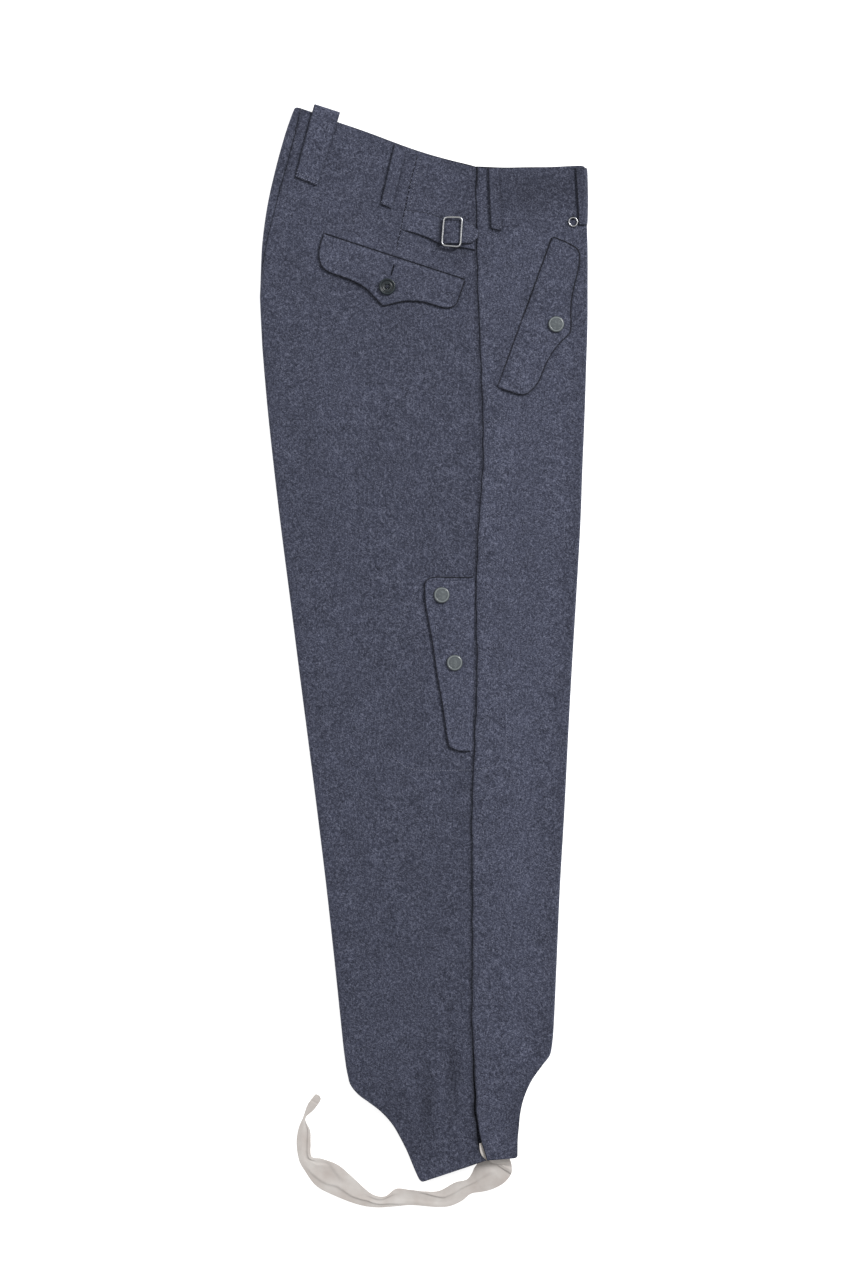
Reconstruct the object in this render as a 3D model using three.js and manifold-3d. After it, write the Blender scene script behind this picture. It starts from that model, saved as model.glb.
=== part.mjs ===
// Military trousers of felted wool, lying folded leg on leg, the right leg on top.
// Millimetres. +X points to the garment's front, +Y to its waist and +Z up; the underside rests on z = 0.
// Places are given from the side seam at the waist: x towards the front, down towards the hem.

import * as THREE from "three";
import { mergeVertices } from "three/addons/utils/BufferGeometryUtils.js";
import Module from "manifold-3d";

const wasm = await Module();
wasm.setup();

// Driving sizes
const clothWall = 2.0;
const seamGap = 0.3;
const legStack = 13.4;
const waistThinning = 5.8;
const legCrown = 1.5;
const seamRise = 0.9;
const flapCloth = 2.2;
const strapCloth = 1.8;
const foldLap = 14;
const openTurn = 25;
const openRadius = 3.2;
const lowerLegInset = 1.2;
const waistSlot = 13;
const leafCloth = 1.8;
const leafInset = 2.2;
const hiddenFront = 98;
const onClothGap = 0.45;
const boxCentre = { x: -55.68, down: 500.32 };
const seamRiseReach = 7;
const crownFade = { share: 0.5, from: 880, to: 1000 };
const thinning = { fromDown: 20, toDown: 190, fromX: -30, toX: 40 };
const seamButt = { lap: 0.2, narrowLap: 0.3 };
const hemLap = 0.5;
const edgeRounding = 0.3;

// One row for each section down the leg: the back outline, the front panel's seam edge and the front outline,
// the slit between the two panels, how far the back seam has turned round the fold, in degrees, its
// distance in from the fold, and 1 where the edge is a cut edge and no fold
const sectionColumns = [
  "backX", "backDown", "seamX", "seamDown", "frontX", "frontDown",
  "slit", "seamTurn", "inboard", "backOpen", "frontTurn", "frontOpen",
];
const sections = [
  [-189, -61.5, -1, 0, 113, 0, 0.3, 8, 2.5, 0, 180, 0],
  [-200, -35.5, -1, 24, 113, 24, 0.3, 8, 6.5, 0, 180, 0],
  [-209.5, -4, -0.5, 53.5, 113, 53.5, 0.3, 8, 7, 0, 180, 0],
  [-219.5, 40, 0, 87, 115, 87, 0.3, 8, 5, 0, 180, 0],
  [-225, 85, 0.5, 124, 115, 124, 0.3, 20, 0.9, 0, 180, 0],
  [-227, 134.5, 2.5, 166, 114.5, 166, 0.3, 90, 0, 0, 180, 0],
  [-224.5, 187, 4, 208, 113.5, 208, 0.3, 150, 0, 0, 180, 0],
  [-220, 250, 6, 260.5, 111.5, 260.5, 0.3, 180, 0, 0, 180, 0],
  [-213.5, 313, 6, 316, 109, 316, 0.3, 180, 0, 0, 180, 0],
  [-206, 378, 1.5, 378, 106.5, 378, 0.3, 180, 0, 0, 180, 0],
  [-196, 452.5, -2, 452.5, 102.5, 452.5, 0.3, 180, 0, 0, 180, 0],
  [-186.5, 528, -1, 528, 98, 528, 0.3, 180, 0, 0, 180, 0],
  [-177, 601.5, -3.5, 601.5, 94, 601.5, 0.3, 180, 0, 0, 180, 0],
  [-167.5, 677, -5.5, 677, 90, 677, 0.3, 180, 0, 0, 180, 0],
  [-158, 754, -5, 754, 85.5, 754, 0.3, 180, 0, 0, 180, 0],
  [-149, 832.5, -5, 832.5, 82, 832.5, 0.3, 180, 0, 0, 180, 0],
  [-142.5, 895.5, -5.5, 895.5, 79, 895.5, 0.3, 180, 0, 0, 180, 0],
  [-139.5, 927, -4, 922, 77.5, 920, 0.6, 180, 0, 0, 180, 0],
  [-137, 946, -3, 942, 75, 933, 1, 120, 0, 0, 110, 0],
  [-133, 962, -2.5, 956.5, 66, 944.5, 1.4, 25, 0, 1, 25, 1],
  [-124.5, 973.5, -2, 969, 57, 957, 1.8, 25, 0, 1, 25, 1],
  [-112.5, 982.5, -1.5, 980.5, 51, 969, 2.4, 25, 0, 1, 25, 1],
  [-100, 992, -1, 991, 46.5, 982, 2.8, 25, 0, 1, 25, 1],
  [-88.5, 1004.5, 0.5, 1001.5, 44, 995.5, 3.1, 25, 0, 1, 25, 1],
  [-80.5, 1018, 2, 1013, 43, 1008, 3.4, 25, 0, 1, 25, 1],
  [-72.5, 1034, 5, 1025, 42, 1020.5, 4.4, 25, 0, 1, 25, 1],
  [-65.5, 1049.5, 8, 1034, 42, 1031, 4, 25, 0, 1, 25, 1],
  [-58, 1064.5, 10.5, 1042.5, 42, 1039, 0.8, 25, 0, 1, 25, 1],
].map(values => Object.fromEntries(sectionColumns.map((name, i) => [name, values[i]])));

// Soft troughs in the lower leg, each along a line, with its half width and depth
const foldColumns = ["fromX", "fromDown", "toX", "toDown", "halfWidth", "depth"];
const folds = [
  [-29.5, 930, -25, 1000, 7, 1.3],
  [-52.5, 945, -57, 1020, 8, 1.4],
  [-79, 975, -76.5, 1012, 6, 0.8],
  [-23, 654, -39, 1011, 16, 0.9],
].map(values => Object.fromEntries(foldColumns.map((name, i) => [name, values[i]])));

const smooth = (value, low, high) => {
  const t = THREE.MathUtils.clamp((value - low) / (high - low), 0, 1);
  return t * t * (3 - 2 * t);
};

// A value of the section table at a distance down its own edge
function alongEdge(down, downColumn, valueColumn) {
  const last = sections.length - 2;
  let i = 0;
  while (i < last && sections[i + 1][downColumn] < down) i += 1;
  const [a, b] = [sections[i], sections[i + 1]];
  const t = THREE.MathUtils.clamp((down - a[downColumn]) / (b[downColumn] - a[downColumn]), 0, 1);
  return THREE.MathUtils.lerp(a[valueColumn], b[valueColumn], t);
}
const backEdge = down => alongEdge(down, "backDown", "backX");
const seamEdge = down => alongEdge(down, "seamDown", "seamX");
const frontEdge = down => alongEdge(down, "frontDown", "frontX");

// How deep the folds press the cloth at a point
function foldDepth(x, down) {
  let depth = 0;
  for (const fold of folds) {
    const [dx, dd] = [fold.toX - fold.fromX, fold.toDown - fold.fromDown];
    const t = ((x - fold.fromX) * dx + (down - fold.fromDown) * dd) / (dx * dx + dd * dd);
    const away = Math.hypot(x - fold.fromX - t * dx, down - fold.fromDown - t * dd);
    const ends = smooth(t, -0.1, 0.2) * (1 - smooth(t, 0.8, 1.1));
    depth += fold.depth * ends * Math.exp(-((away / fold.halfWidth) ** 2));
  }
  return depth;
}

// Height of the folded stack without its folds: four walls, two of them at the back of the waist
function stackHeight(x, down) {
  const across = (x - backEdge(down)) / (frontEdge(down) - backEdge(down));
  const u = THREE.MathUtils.clamp(2 * across - 1, -1, 1);
  const crown = legCrown * (1 - u ** 4) * (1 - crownFade.share * smooth(down, crownFade.from, crownFade.to));
  const behindHip = 1 - smooth(x, thinning.fromX, thinning.toX);
  const thin = waistThinning * (1 - smooth(down, thinning.fromDown, thinning.toDown)) * behindHip;
  return legStack + crown - thin;
}

// Height of the right leg's outer face; the front panel's edge stands a little proud along the side seam
function topHeight(x, down, onFront = false) {
  const rise = onFront ? seamRise * Math.exp(-Math.abs(x - seamEdge(down)) / seamRiseReach) : 0;
  return stackHeight(x, down) - foldDepth(x, down) + rise;
}

const place = (x, down, z) => new THREE.Vector3(x, -down, z);

// A closed solid from sections that each list as many points over the cloth as under it
function clothSolid(strips) {
  const count = strips[0].over.length;
  const points = strips.flatMap(strip => [...strip.over, ...strip.under]);
  const ring = 2 * count;
  const slot = k => (k < count ? k : 3 * count - 1 - k);
  const faces = [];
  const quad = (a, b, c, d) => faces.push(a, b, c, a, c, d);
  for (let row = 0; row + 1 < strips.length; row += 1) {
    const [here, next] = [row * ring, (row + 1) * ring];
    for (let k = 0; k < ring; k += 1) {
      const [p, q] = [slot(k), slot((k + 1) % ring)];
      quad(here + p, here + q, next + q, next + p);
    }
  }
  const end = (strips.length - 1) * ring;
  for (let k = 0; k + 1 < count; k += 1) {
    quad(k, count + k, count + k + 1, k + 1);
    quad(end + k, end + k + 1, end + count + k + 1, end + count + k);
  }
  return outward(points, faces);
}

// Faces turned to point outwards, whichever way the sections ran
function outward(points, faces) {
  let volume = 0;
  for (let i = 0; i < faces.length; i += 3) {
    const [a, b, c] = [points[faces[i]], points[faces[i + 1]], points[faces[i + 2]]];
    volume += a.dot(b.clone().cross(c));
  }
  const turned = volume < 0 ? faces.map((_, i) => faces[i - (i % 3) + (2 - (i % 3))]) : faces;
  const geometry = new THREE.BufferGeometry().setFromPoints(points);
  geometry.setIndex(turned);
  return geometry;
}

// The path of a wall that folds over: from the fold's start, round by turn degrees, then on by a lap.
// Each point is a distance in from the outline and a drop from the wall's face.
function foldPath(radius, turn, lap, wall, inset, steps) {
  const end = THREE.MathUtils.degToRad(turn);
  const start = inset + radius * Math.sin(Math.min(end, Math.PI / 2));
  const path = [];
  for (let k = 0; k <= steps; k += 1) {
    const angle = (end * k) / steps;
    const bend = radius - wall;
    path.push({
      over: [start - radius * Math.sin(angle), radius * (1 - Math.cos(angle))],
      under: [start - bend * Math.sin(angle), radius - bend * Math.cos(angle)],
    });
  }
  const last = path[steps];
  const reach = [-Math.cos(end) * lap, Math.sin(end) * lap];
  path.push({
    over: [last.over[0] + reach[0], last.over[1] + reach[1]],
    under: [last.under[0] + reach[0], last.under[1] + reach[1]],
  });
  return path;
}

// How a wall folds at one edge of a section, for the upper or the lower leg.
// Where the seam lies on the top face the lower wall comes all the way round; further down each wall
// turns to the middle of the stack and, past the seat, laps in under its own leg.
function foldAt(section, side, upper, stack) {
  const open = section[side === "back" ? "backOpen" : "frontOpen"];
  const turn = section[side === "back" ? "seamTurn" : "frontTurn"];
  const radians = THREE.MathUtils.degToRad(turn);
  if (open) return { radius: openRadius, turn: openTurn, lap: hemLap, inset: upper ? 0 : lowerLegInset };
  const onTop = turn < 10;
  if (turn < 90 && upper) {
    const inset = section.inboard + (stack / 2) * (1 - (onTop ? 0 : Math.sin(radians))) + seamGap;
    return { radius: stack / 2, turn, lap: seamButt.lap, inset };
  }
  if (onTop) return { radius: stack / 2, turn: 180, lap: section.inboard - seamButt.lap, inset: 0 };
  if (turn < 90) return { radius: stack / 2, turn: 180 - turn, lap: seamButt.lap, inset: 0 };
  const lap = turn > 170 ? foldLap : seamButt.narrowLap;
  const radius = ((stack - seamGap) / 2 - lap * Math.sin(radians)) / (1 - Math.cos(radians));
  const inset = upper || turn < 100 ? 0 : lowerLegInset;
  return { radius, turn, lap, inset };
}

// One panel of a leg: flat from the side seam to the fold, then round it
function panel(side, upper, columns) {
  const strips = sections.map(section => {
    const edge = [section[side + "X"], section[side + "Down"]];
    const toBack = side === "back";
    const seam = [section.seamX - (toBack ? section.slit : 0), section.seamDown];
    const width = Math.hypot(seam[0] - edge[0], seam[1] - edge[1]);
    const inward = [(seam[0] - edge[0]) / width, (seam[1] - edge[1]) / width];
    const at = reach => [edge[0] + inward[0] * reach, edge[1] + inward[1] * reach];
    const face = (x, down) => (upper ? topHeight(x, down, !toBack) : 0);
    const drop = upper ? -1 : 1;
    const stack = stackHeight(...at(4));
    const fold = foldAt(section, side, upper, stack);
    const path = foldPath(fold.radius, fold.turn, fold.lap, clothWall, fold.inset, 4);
    const start = path[0].over[0];
    const over = [];
    const under = [];
    for (const share of columns) {
      const [x, down] = at(width + (start - width) * share);
      over.push(place(x, down, face(x, down)));
      under.push(place(x, down, face(x, down) + drop * clothWall));
    }
    const foldFace = face(...at(start));
    for (const step of path.slice(1)) {
      over.push(place(...at(step.over[0]), foldFace + drop * step.over[1]));
      under.push(place(...at(step.under[0]), foldFace + drop * step.under[1]));
    }
    return { over, under };
  });
  return clothSolid(strips);
}

const backColumns = [0, 0.05, 0.13, 0.21, 0.29, 0.37, 0.45, 0.53, 0.61, 0.69, 0.78, 0.88, 0.96, 1];
const frontColumns = [0, 0.05, 0.13, 0.35, 0.65, 0.9, 1];
const lowerColumns = [0, 0.4, 0.9, 1];

// A part of a section, as a plain slab between two distances in from its outlines
function slab(section, backIn, frontIn, low, high, edge) {
  const back = [section.backX, section.backDown];
  const front = [section.frontX, section.frontDown];
  const seam = [section.seamX, section.seamDown];
  const point = share => {
    const half = share < 0.5 ? [back, seam, share * 2] : [seam, front, share * 2 - 1];
    return [0, 1].map(axis => THREE.MathUtils.lerp(half[0][axis], half[1][axis], half[2]));
  };
  const backLength = Math.hypot(seam[0] - back[0], seam[1] - back[1]);
  const frontLength = Math.hypot(front[0] - seam[0], front[1] - seam[1]);
  const first = typeof backIn === "function" ? backIn(section, seam) : (0.5 * backIn) / backLength;
  const last = 1 - (0.5 * frontIn) / frontLength;
  const over = [];
  const under = [];
  for (const share of [0, 0.03, 0.25, 0.5, 0.75, 0.97, 1]) {
    const [x, down] = point(THREE.MathUtils.lerp(first, last, share));
    const round = share === 0 || share === 1 ? edge : 0;
    over.push(place(x, down, high(x, down) - round));
    under.push(place(x, down, low(x, down) + round));
  }
  return { over, under };
}

const blend = (a, b, t) => {
  const between = key => THREE.MathUtils.lerp(a[key], b[key], t);
  return Object.fromEntries(sectionColumns.map(key => [key, between(key)]));
};
const asSolid = geometry => {
  const merged = mergeVertices(geometry);
  return new wasm.Manifold(new wasm.Mesh({
    numProp: 3,
    vertProperties: new Float32Array(merged.attributes.position.array),
    triVerts: new Uint32Array(merged.index.array),
  }));
};

// The hidden inner halves of both legs: one solid, with its layers parted at the waist and at the ankles
const coreSpare = { leg: 0.7, ankle: 1.6, from: 620, to: 900 };
const coreInset = { open: 14, fold: 20, turning: 12, edge: 1.2 };
function innerLayers() {
  const floor = () => clothWall + seamGap;
  const middle = legStack / 2;
  const waistRow = blend(sections[0], sections[1], waistSlot / 24);
  const coreSections = [waistRow, ...sections.slice(1, 24)];
  const core = clothSolid(coreSections.map(section => {
    const spare = coreSpare.leg + coreSpare.ankle * smooth(section.seamDown, coreSpare.from, coreSpare.to);
    const roof = (x, down) => stackHeight(x, down) - clothWall - seamGap - spare;
    const plainFold = section.backOpen < 0.5 && section.seamTurn > 100;
    const frontIn = section.frontOpen ? coreInset.open : coreInset.fold;
    const backIn = section.backOpen ? coreInset.open : plainFold ? coreInset.fold : coreInset.turning;
    return slab(section, backIn, frontIn, floor, roof, coreInset.edge);
  }));
  const leaf = (rows, backIn, frontIn, low) => clothSolid(rows.map(section =>
    slab(section, backIn, frontIn, () => low, () => low + leafCloth, 0.5)));
  const upperLeaf = middle + seamGap / 2;
  const lowerLeaf = middle - seamGap / 2 - leafCloth;
  const hemRow = blend(sections[26], sections[27], 0.8);
  const ankleRows = [...sections.slice(20, 27), hemRow];
  const edgeRow = blend(sections[0], sections[1], 0.04);
  const deepRow = blend(sections[0], sections[1], 0.95);
  const waistRows = [edgeRow, waistRow, deepRow];
  const fromFront = section => 1 - (0.5 * hiddenFront) / (section.frontX - section.seamX);
  const pieces = [
    leaf(ankleRows, leafInset + 1.5, leafInset + 0.6, upperLeaf),
    leaf(ankleRows, leafInset + 0.4, leafInset + 1.6, lowerLeaf),
    leaf(waistRows, fromFront, foldLap + 4, upperLeaf),
    leaf(waistRows, fromFront, foldLap + 5, lowerLeaf),
  ];
  let solid = asSolid(core);
  for (const piece of pieces) solid = solid.add(asSolid(piece));
  const { vertProperties, triVerts } = solid.getMesh();
  const geometry = new THREE.BufferGeometry();
  geometry.setAttribute("position", new THREE.BufferAttribute(new Float32Array(vertProperties), 3));
  geometry.setIndex(new THREE.BufferAttribute(new Uint32Array(triVerts), 1));
  return geometry;
}

// A flat strip that lies on a panel: each row has its two edges and its lift from the face below
function strip(rows, thickness, onFront = false) {
  const shares = [0, 0.12, 0.5, 0.88, 1];
  return clothSolid(rows.map(row => {
    const over = [];
    const under = [];
    for (const share of shares) {
      const x = THREE.MathUtils.lerp(row.leftX, row.rightX, share);
      const down = THREE.MathUtils.lerp(row.leftDown, row.rightDown, share);
      const base = topHeight(x, down, onFront) + row.lift;
      const round = share === 0 || share === 1 ? thickness * edgeRounding : 0;
      over.push(place(x, down, base + thickness - round));
      under.push(place(x, down, base));
    }
    return { over, under };
  }));
}
const rowsOf = (columns, table) => table.map(
  values => Object.fromEntries(columns.map((name, i) => [name, values[i]])),
);
const stripColumns = ["leftX", "leftDown", "rightX", "rightDown", "lift"];

// A belt loop between the waist edge and its foot, bowed off the cloth between its two sewn ends
function beltLoop(top, foot, onFront) {
  const bow = [[0, 0.4], [0.12, 1.1], [0.5, 1.5], [0.88, 1.1], [1, 0.4]];
  const rows = bow.map(([share, lift]) => ({
    leftX: THREE.MathUtils.lerp(top.leftX, foot.leftX, share),
    leftDown: THREE.MathUtils.lerp(top.leftDown, foot.leftDown, share),
    rightX: THREE.MathUtils.lerp(top.rightX, foot.rightX, share),
    rightDown: THREE.MathUtils.lerp(top.rightDown, foot.rightDown, share),
    lift,
  }));
  return strip(rows, strapCloth, onFront);
}

// The wide loop at the back hooks over the waist edge: its end goes down inside the waist
function wideLoop() {
  const columns = ["overAt", "overLift", "underAt", "underLift"];
  const rows = rowsOf(columns, [
    [18, -4.3, 18, -2.5],
    [5, -4.2, 5, -2.4],
    [1.2, -3.4, 2.6, -1.8],
    [0, -1, 1.9, -0.8],
    [0.9, 1.6, 2.6, 0.2],
    [4.2, 2.6, 4.6, 0.7],
    [14, 3, 14, 1.1],
    [45, 3, 45, 1.2],
    [66, 2.6, 66, 0.7],
    [77, 2.2, 77, 0.4],
  ]);
  const top = { leftX: -170.5, leftDown: -64, rightX: -144, rightDown: -56.5 };
  const foot = { leftX: -191.5, leftDown: 10, rightX: -168, rightDown: 19 };
  const length = 77;
  const at = (reach, share) => {
    const t = reach / length;
    const left = [
      THREE.MathUtils.lerp(top.leftX, foot.leftX, t),
      THREE.MathUtils.lerp(top.leftDown, foot.leftDown, t),
    ];
    const right = [
      THREE.MathUtils.lerp(top.rightX, foot.rightX, t),
      THREE.MathUtils.lerp(top.rightDown, foot.rightDown, t),
    ];
    return [0, 1].map(axis => THREE.MathUtils.lerp(left[axis], right[axis], share));
  };
  const shares = [0, 0.08, 0.5, 0.92, 1];
  return clothSolid(rows.map(row => ({
    over: shares.map(share => {
      const [x, down] = at(row.overAt, share);
      return place(x, down, topHeight(x, down) + row.overLift);
    }),
    under: shares.map(share => {
      const [x, down] = at(row.underAt, share);
      return place(x, down, topHeight(x, down) + row.underLift);
    }),
  })));
}

// The loop at the front crease lies half on the panel and half round its fold
function creaseLoop() {
  const [topDown, footDown] = [0.8, 61];
  const leftEdge = [103.5, 107];
  const bow = [[0, 0.4], [0.12, 1], [0.5, 1.3], [0.88, 1], [1, 0.4]];
  const radius = (legStack - seamGap) / 4;
  return clothSolid(bow.map(([share, lift]) => {
    const down = THREE.MathUtils.lerp(topDown, footDown, share);
    const left = THREE.MathUtils.lerp(leftEdge[0], leftEdge[1], share);
    const foldX = frontEdge(down) - radius;
    const points = height => {
      const line = [0, 0.5, 1].map(part => {
        const x = THREE.MathUtils.lerp(left, foldX, part);
        const round = part === 0 && height > lift ? strapCloth * edgeRounding : 0;
        return place(x, down, topHeight(x, down, true) + height - round);
      });
      const arc = [30, 60, 85].map(degrees => {
        const angle = THREE.MathUtils.degToRad(degrees);
        const reach = radius + Math.min(height, height - lift + 0.5);
        const base = topHeight(foldX, down, true) - radius;
        return place(foldX + reach * Math.sin(angle), down, base + reach * Math.cos(angle));
      });
      return [...line, ...arc];
    };
    return { over: points(lift + strapCloth), under: points(lift) };
  }));
}

// A pocket flap: a straight sewn edge, and its free edge as distances along it and out from it
function flap(from, to, freeEdge, onFront) {
  const length = Math.hypot(to.x - from.x, to.down - from.down);
  const along = [(to.x - from.x) / length, (to.down - from.down) / length];
  const out = [-along[1], along[0]];
  const last = freeEdge.length - 1;
  const shares = [0, 0.3, 0.65, 0.93, 1];
  return clothSolid(freeEdge.map(([reach, drop], i) => {
    const sewn = THREE.MathUtils.clamp(reach, 0, length) * 0.9 + (length * 0.1 * i) / last;
    const over = [];
    const under = [];
    for (const share of shares) {
      const a = THREE.MathUtils.lerp(sewn, reach, share);
      const x = from.x + along[0] * a + out[0] * drop * share;
      const down = from.down + along[1] * a + out[1] * drop * share;
      const base = topHeight(x, down, onFront) + onClothGap;
      over.push(place(x, down, base + flapCloth * (share === 1 ? 1 - edgeRounding : 1)));
      under.push(place(x, down, base));
    }
    return { over, under };
  }));
}
const backFlapEdge = [
  [0, 3], [0.6, 17.5], [6.5, 32], [16.7, 37.6], [33.4, 38.4], [47.7, 39.4], [60.1, 42.4], [70.8, 47.7],
  [80.1, 52.9], [84.1, 53.7], [91.5, 49.2], [102.1, 42.9], [113.5, 38.9], [125.5, 36.6], [138.1, 36.4],
  [147.7, 35.1], [155.1, 30.1], [156.8, 21.9], [157, 10.9], [157.2, 2.5],
];
const frontFlapEdge = [
  [-2.2, 3], [-2.1, 12.6], [-1.6, 24.4], [2, 32.1], [11.5, 37.6], [21.3, 40.1], [36.4, 40.5], [50.7, 42.8],
  [64.2, 47], [76.8, 52.8], [84.1, 52.2], [103.9, 45], [120.5, 41.4], [142, 38.9], [154.7, 36.5],
  [163.1, 31.2], [165.9, 22.1], [166.9, 8.2], [167, 2],
];
const kneeFlapEdge = [
  [0, 3], [0.2, 25], [0.5, 45.4], [4.9, 52.7], [12.3, 54.1], [31.5, 52.4], [68.2, 44.5], [105, 38.1],
  [137.3, 31.8], [174, 26.1], [180.6, 20.9], [183, 13.5], [183.2, 3],
];

// A small round piece from its profile, set on what carries it
function turned(profile, x, down, base, onFront, segments = 18) {
  const geometry = new THREE.LatheGeometry(profile.map(([r, z]) => new THREE.Vector2(r, z)), segments);
  geometry.rotateX(Math.PI / 2);
  geometry.translate(x, -down, topHeight(x, down, onFront) + base);
  geometry.deleteAttribute("normal");
  geometry.deleteAttribute("uv");
  return mergeVertices(geometry, 1e-3);
}
const buttonProfile = [[0, 0], [7.2, 0], [8.5, 1.2], [8.5, 2.4], [7.6, 3], [6.4, 2.7], [5.4, 1.8], [0, 1.7]];
const snapProfile = [[0, 0], [7.2, 0], [8.3, 0.7], [8.4, 1.5], [7.4, 2.3], [5, 2.6], [0, 2.7]];
const onFlap = onClothGap + flapCloth + 0.35;

// A closed loop of round wire through points in a level or gently tilted plane
function wireLoop(path, wire, sides) {
  const points = [];
  const faces = [];
  const up = new THREE.Vector3(0, 0, 1);
  path.forEach((point, i) => {
    const before = path[(i + path.length - 1) % path.length];
    const after = path[(i + 1) % path.length];
    const side = after.clone().sub(before).cross(up).normalize();
    for (let k = 0; k < sides; k += 1) {
      const angle = (2 * Math.PI * (k + 0.5)) / sides;
      const outwards = point.clone().addScaledVector(side, wire * Math.cos(angle));
      points.push(outwards.addScaledVector(up, wire * Math.sin(angle)));
      const next = ((i + 1) % path.length) * sides;
      const turn = (k + 1) % sides;
      faces.push(i * sides + k, i * sides + turn, next + turn, i * sides + k, next + turn, next + k);
    }
  });
  return outward(points, faces);
}

// The cinch buckle: a tilted frame with round corners, over the strap
function buckle() {
  const wire = 1.1;
  const corner = 3;
  const corners = [
    { x: -34.4, down: 53.2 },
    { x: -15.7, down: 53.6 },
    { x: -17.7, down: 83.2 },
    { x: -36.8, down: 81.2 },
  ];
  const height = x => THREE.MathUtils.mapLinear(x, -37, -15, 4.9, 7);
  const base = topHeight(-26, 68);
  const path = [];
  corners.forEach((here, i) => {
    const before = corners[(i + 3) % 4];
    const after = corners[(i + 1) % 4];
    const towards = other => {
      const span = Math.hypot(other.x - here.x, other.down - here.down);
      return { x: ((other.x - here.x) / span) * corner, down: ((other.down - here.down) / span) * corner };
    };
    const [a, b] = [towards(before), towards(after)];
    for (const share of [0, 0.33, 0.67, 1]) {
      const [p, q] = [(1 - share) ** 2, share ** 2];
      const [x, down] = [here.x + a.x * p + b.x * q, here.down + a.down * p + b.down * q];
      path.push(place(x, down, base + height(x)));
    }
  });
  return wireLoop(path, wire, 6);
}

// The small ring sewn on at the top of its wire, lying flat
const ring = { x: 100, down: 58, radius: 4.65, wire: 0.85 };
function watchRing() {
  const path = [];
  const segments = 20;
  const z = topHeight(ring.x, ring.down, true) + ring.wire + 0.45;
  for (let i = 0; i < segments; i += 1) {
    const angle = (2 * Math.PI * i) / segments;
    path.push(place(ring.x + ring.radius * Math.sin(angle), ring.down - ring.radius * Math.cos(angle), z));
  }
  return wireLoop(path, ring.wire, 8);
}

// The foot tape, from its seam inside the hem, over the hem edge and along the ground to its free end
const tapeCloth = 1.1;
const tapeRoute = rowsOf(["nearX", "nearDown", "farX", "farDown", "lift"], [
  [2.4, 1025.5, 20, 1019.5, 9.9],
  [3.4, 1033, 26, 1028, 9.9],
  [7.5, 1040, 32, 1036.5, 9.6],
  [13, 1044.5, 35.2, 1044, 7.4],
  [17, 1047.5, 36.9, 1050.5, 4.8],
  [14, 1041.5, 36.2, 1059, 2.8],
  [5, 1042.8, 29, 1067, 2.6],
  [-2, 1049.2, 17, 1072.5, 1.4],
  [-5.5, 1056.5, 5.5, 1075.5, 0.4],
  [-11, 1062.5, -6, 1077.5, 0.1],
  [-23, 1067, -15.5, 1085, 0.1],
  [-36, 1072.5, -26.5, 1090, 0.1],
  [-54.5, 1074.8, -43, 1091.5, 0.1],
  [-69.5, 1073.5, -68.5, 1089.5, 0.1],
  [-85, 1072, -87, 1091, 0.1],
  [-97, 1080, -106, 1092, 0.1],
  [-111.5, 1077, -125, 1089, 0.1],
  [-129, 1061.5, -148, 1080.5, 0.1],
  [-146, 1047, -169, 1069.5, 0.1],
  [-163, 1040.5, -181.5, 1053, 0.1],
  [-174, 1038, -187.5, 1041.5, 0.1],
  [-175, 1024, -188.7, 1024, 0.1],
  [-175.5, 1011, -187.5, 1009, 0.1],
  [-179, 999.5, -183, 996.5, 0.1],
  [-173, 989, -178.5, 984, 0.1],
  [-165, 980.5, -171.5, 974.5, 0.1],
  [-164.5, 977.5, -168.5, 973.8, 0.1],
]);
function footTape() {
  return clothSolid(tapeRoute.map(row => {
    const middle = { x: (row.nearX + row.farX) / 2, down: (row.nearDown + row.farDown) / 2 };
    return {
      over: [
        place(row.nearX, row.nearDown, row.lift + (1 - edgeRounding) * tapeCloth),
        place(middle.x, middle.down, row.lift + tapeCloth),
        place(row.farX, row.farDown, row.lift + (1 - edgeRounding) * tapeCloth),
      ],
      under: [
        place(row.nearX, row.nearDown, row.lift),
        place(middle.x, middle.down, row.lift),
        place(row.farX, row.farDown, row.lift),
      ],
    };
  }));
}

// Straps of the waist cinch
const longStrap = rowsOf(stripColumns, [
  [-75, 44.5, -79.5, 65.5, 0.4],
  [-55.5, 47, -63, 70, 0.4],
  [-44, 50, -50, 75, 0.6],
  [-36, 53.6, -39, 80.5, 0.9],
  [-27, 55.4, -28.5, 80.6, 2.5],
  [-14, 55.6, -15, 80.8, 2.7],
  [-6.5, 58, -7, 80.5, 2.7],
  [-2, 63, -2.5, 78, 2.7],
  [2, 68, 2, 73, 2.9],
]);
const shortStrap = rowsOf(stripColumns, [
  [-27, 58, -27.5, 83, 0.4],
  [-14.5, 58.5, -14.5, 85, 0.4],
  [-1.8, 60, -1.8, 87.5, 0.4],
]);

const wool = { color: 0x4b4e5d, roughness: 0.95, metalness: 0 };
const looks = {
  wool,
  woolInside: { ...wool, color: 0x3d404d },
  button: { color: 0x2b3a3c, roughness: 0.4, metalness: 0 },
  snap: { color: 0x676c70, roughness: 0.5, metalness: 0.1 },
  steel: { color: 0xbdb9ac, roughness: 0.3, metalness: 0.9 },
  cotton: { color: 0xccc6bf, roughness: 0.9, metalness: 0 },
};

const trousers = new THREE.Group();
const garment = new THREE.Group();
garment.position.set(-boxCentre.x, boxCentre.down, 0);
trousers.add(garment);

function add(name, geometry, look) {
  const mesh = new THREE.Mesh(geometry, new THREE.MeshStandardMaterial(looks[look]));
  mesh.name = name;
  garment.add(mesh);
}

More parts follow.
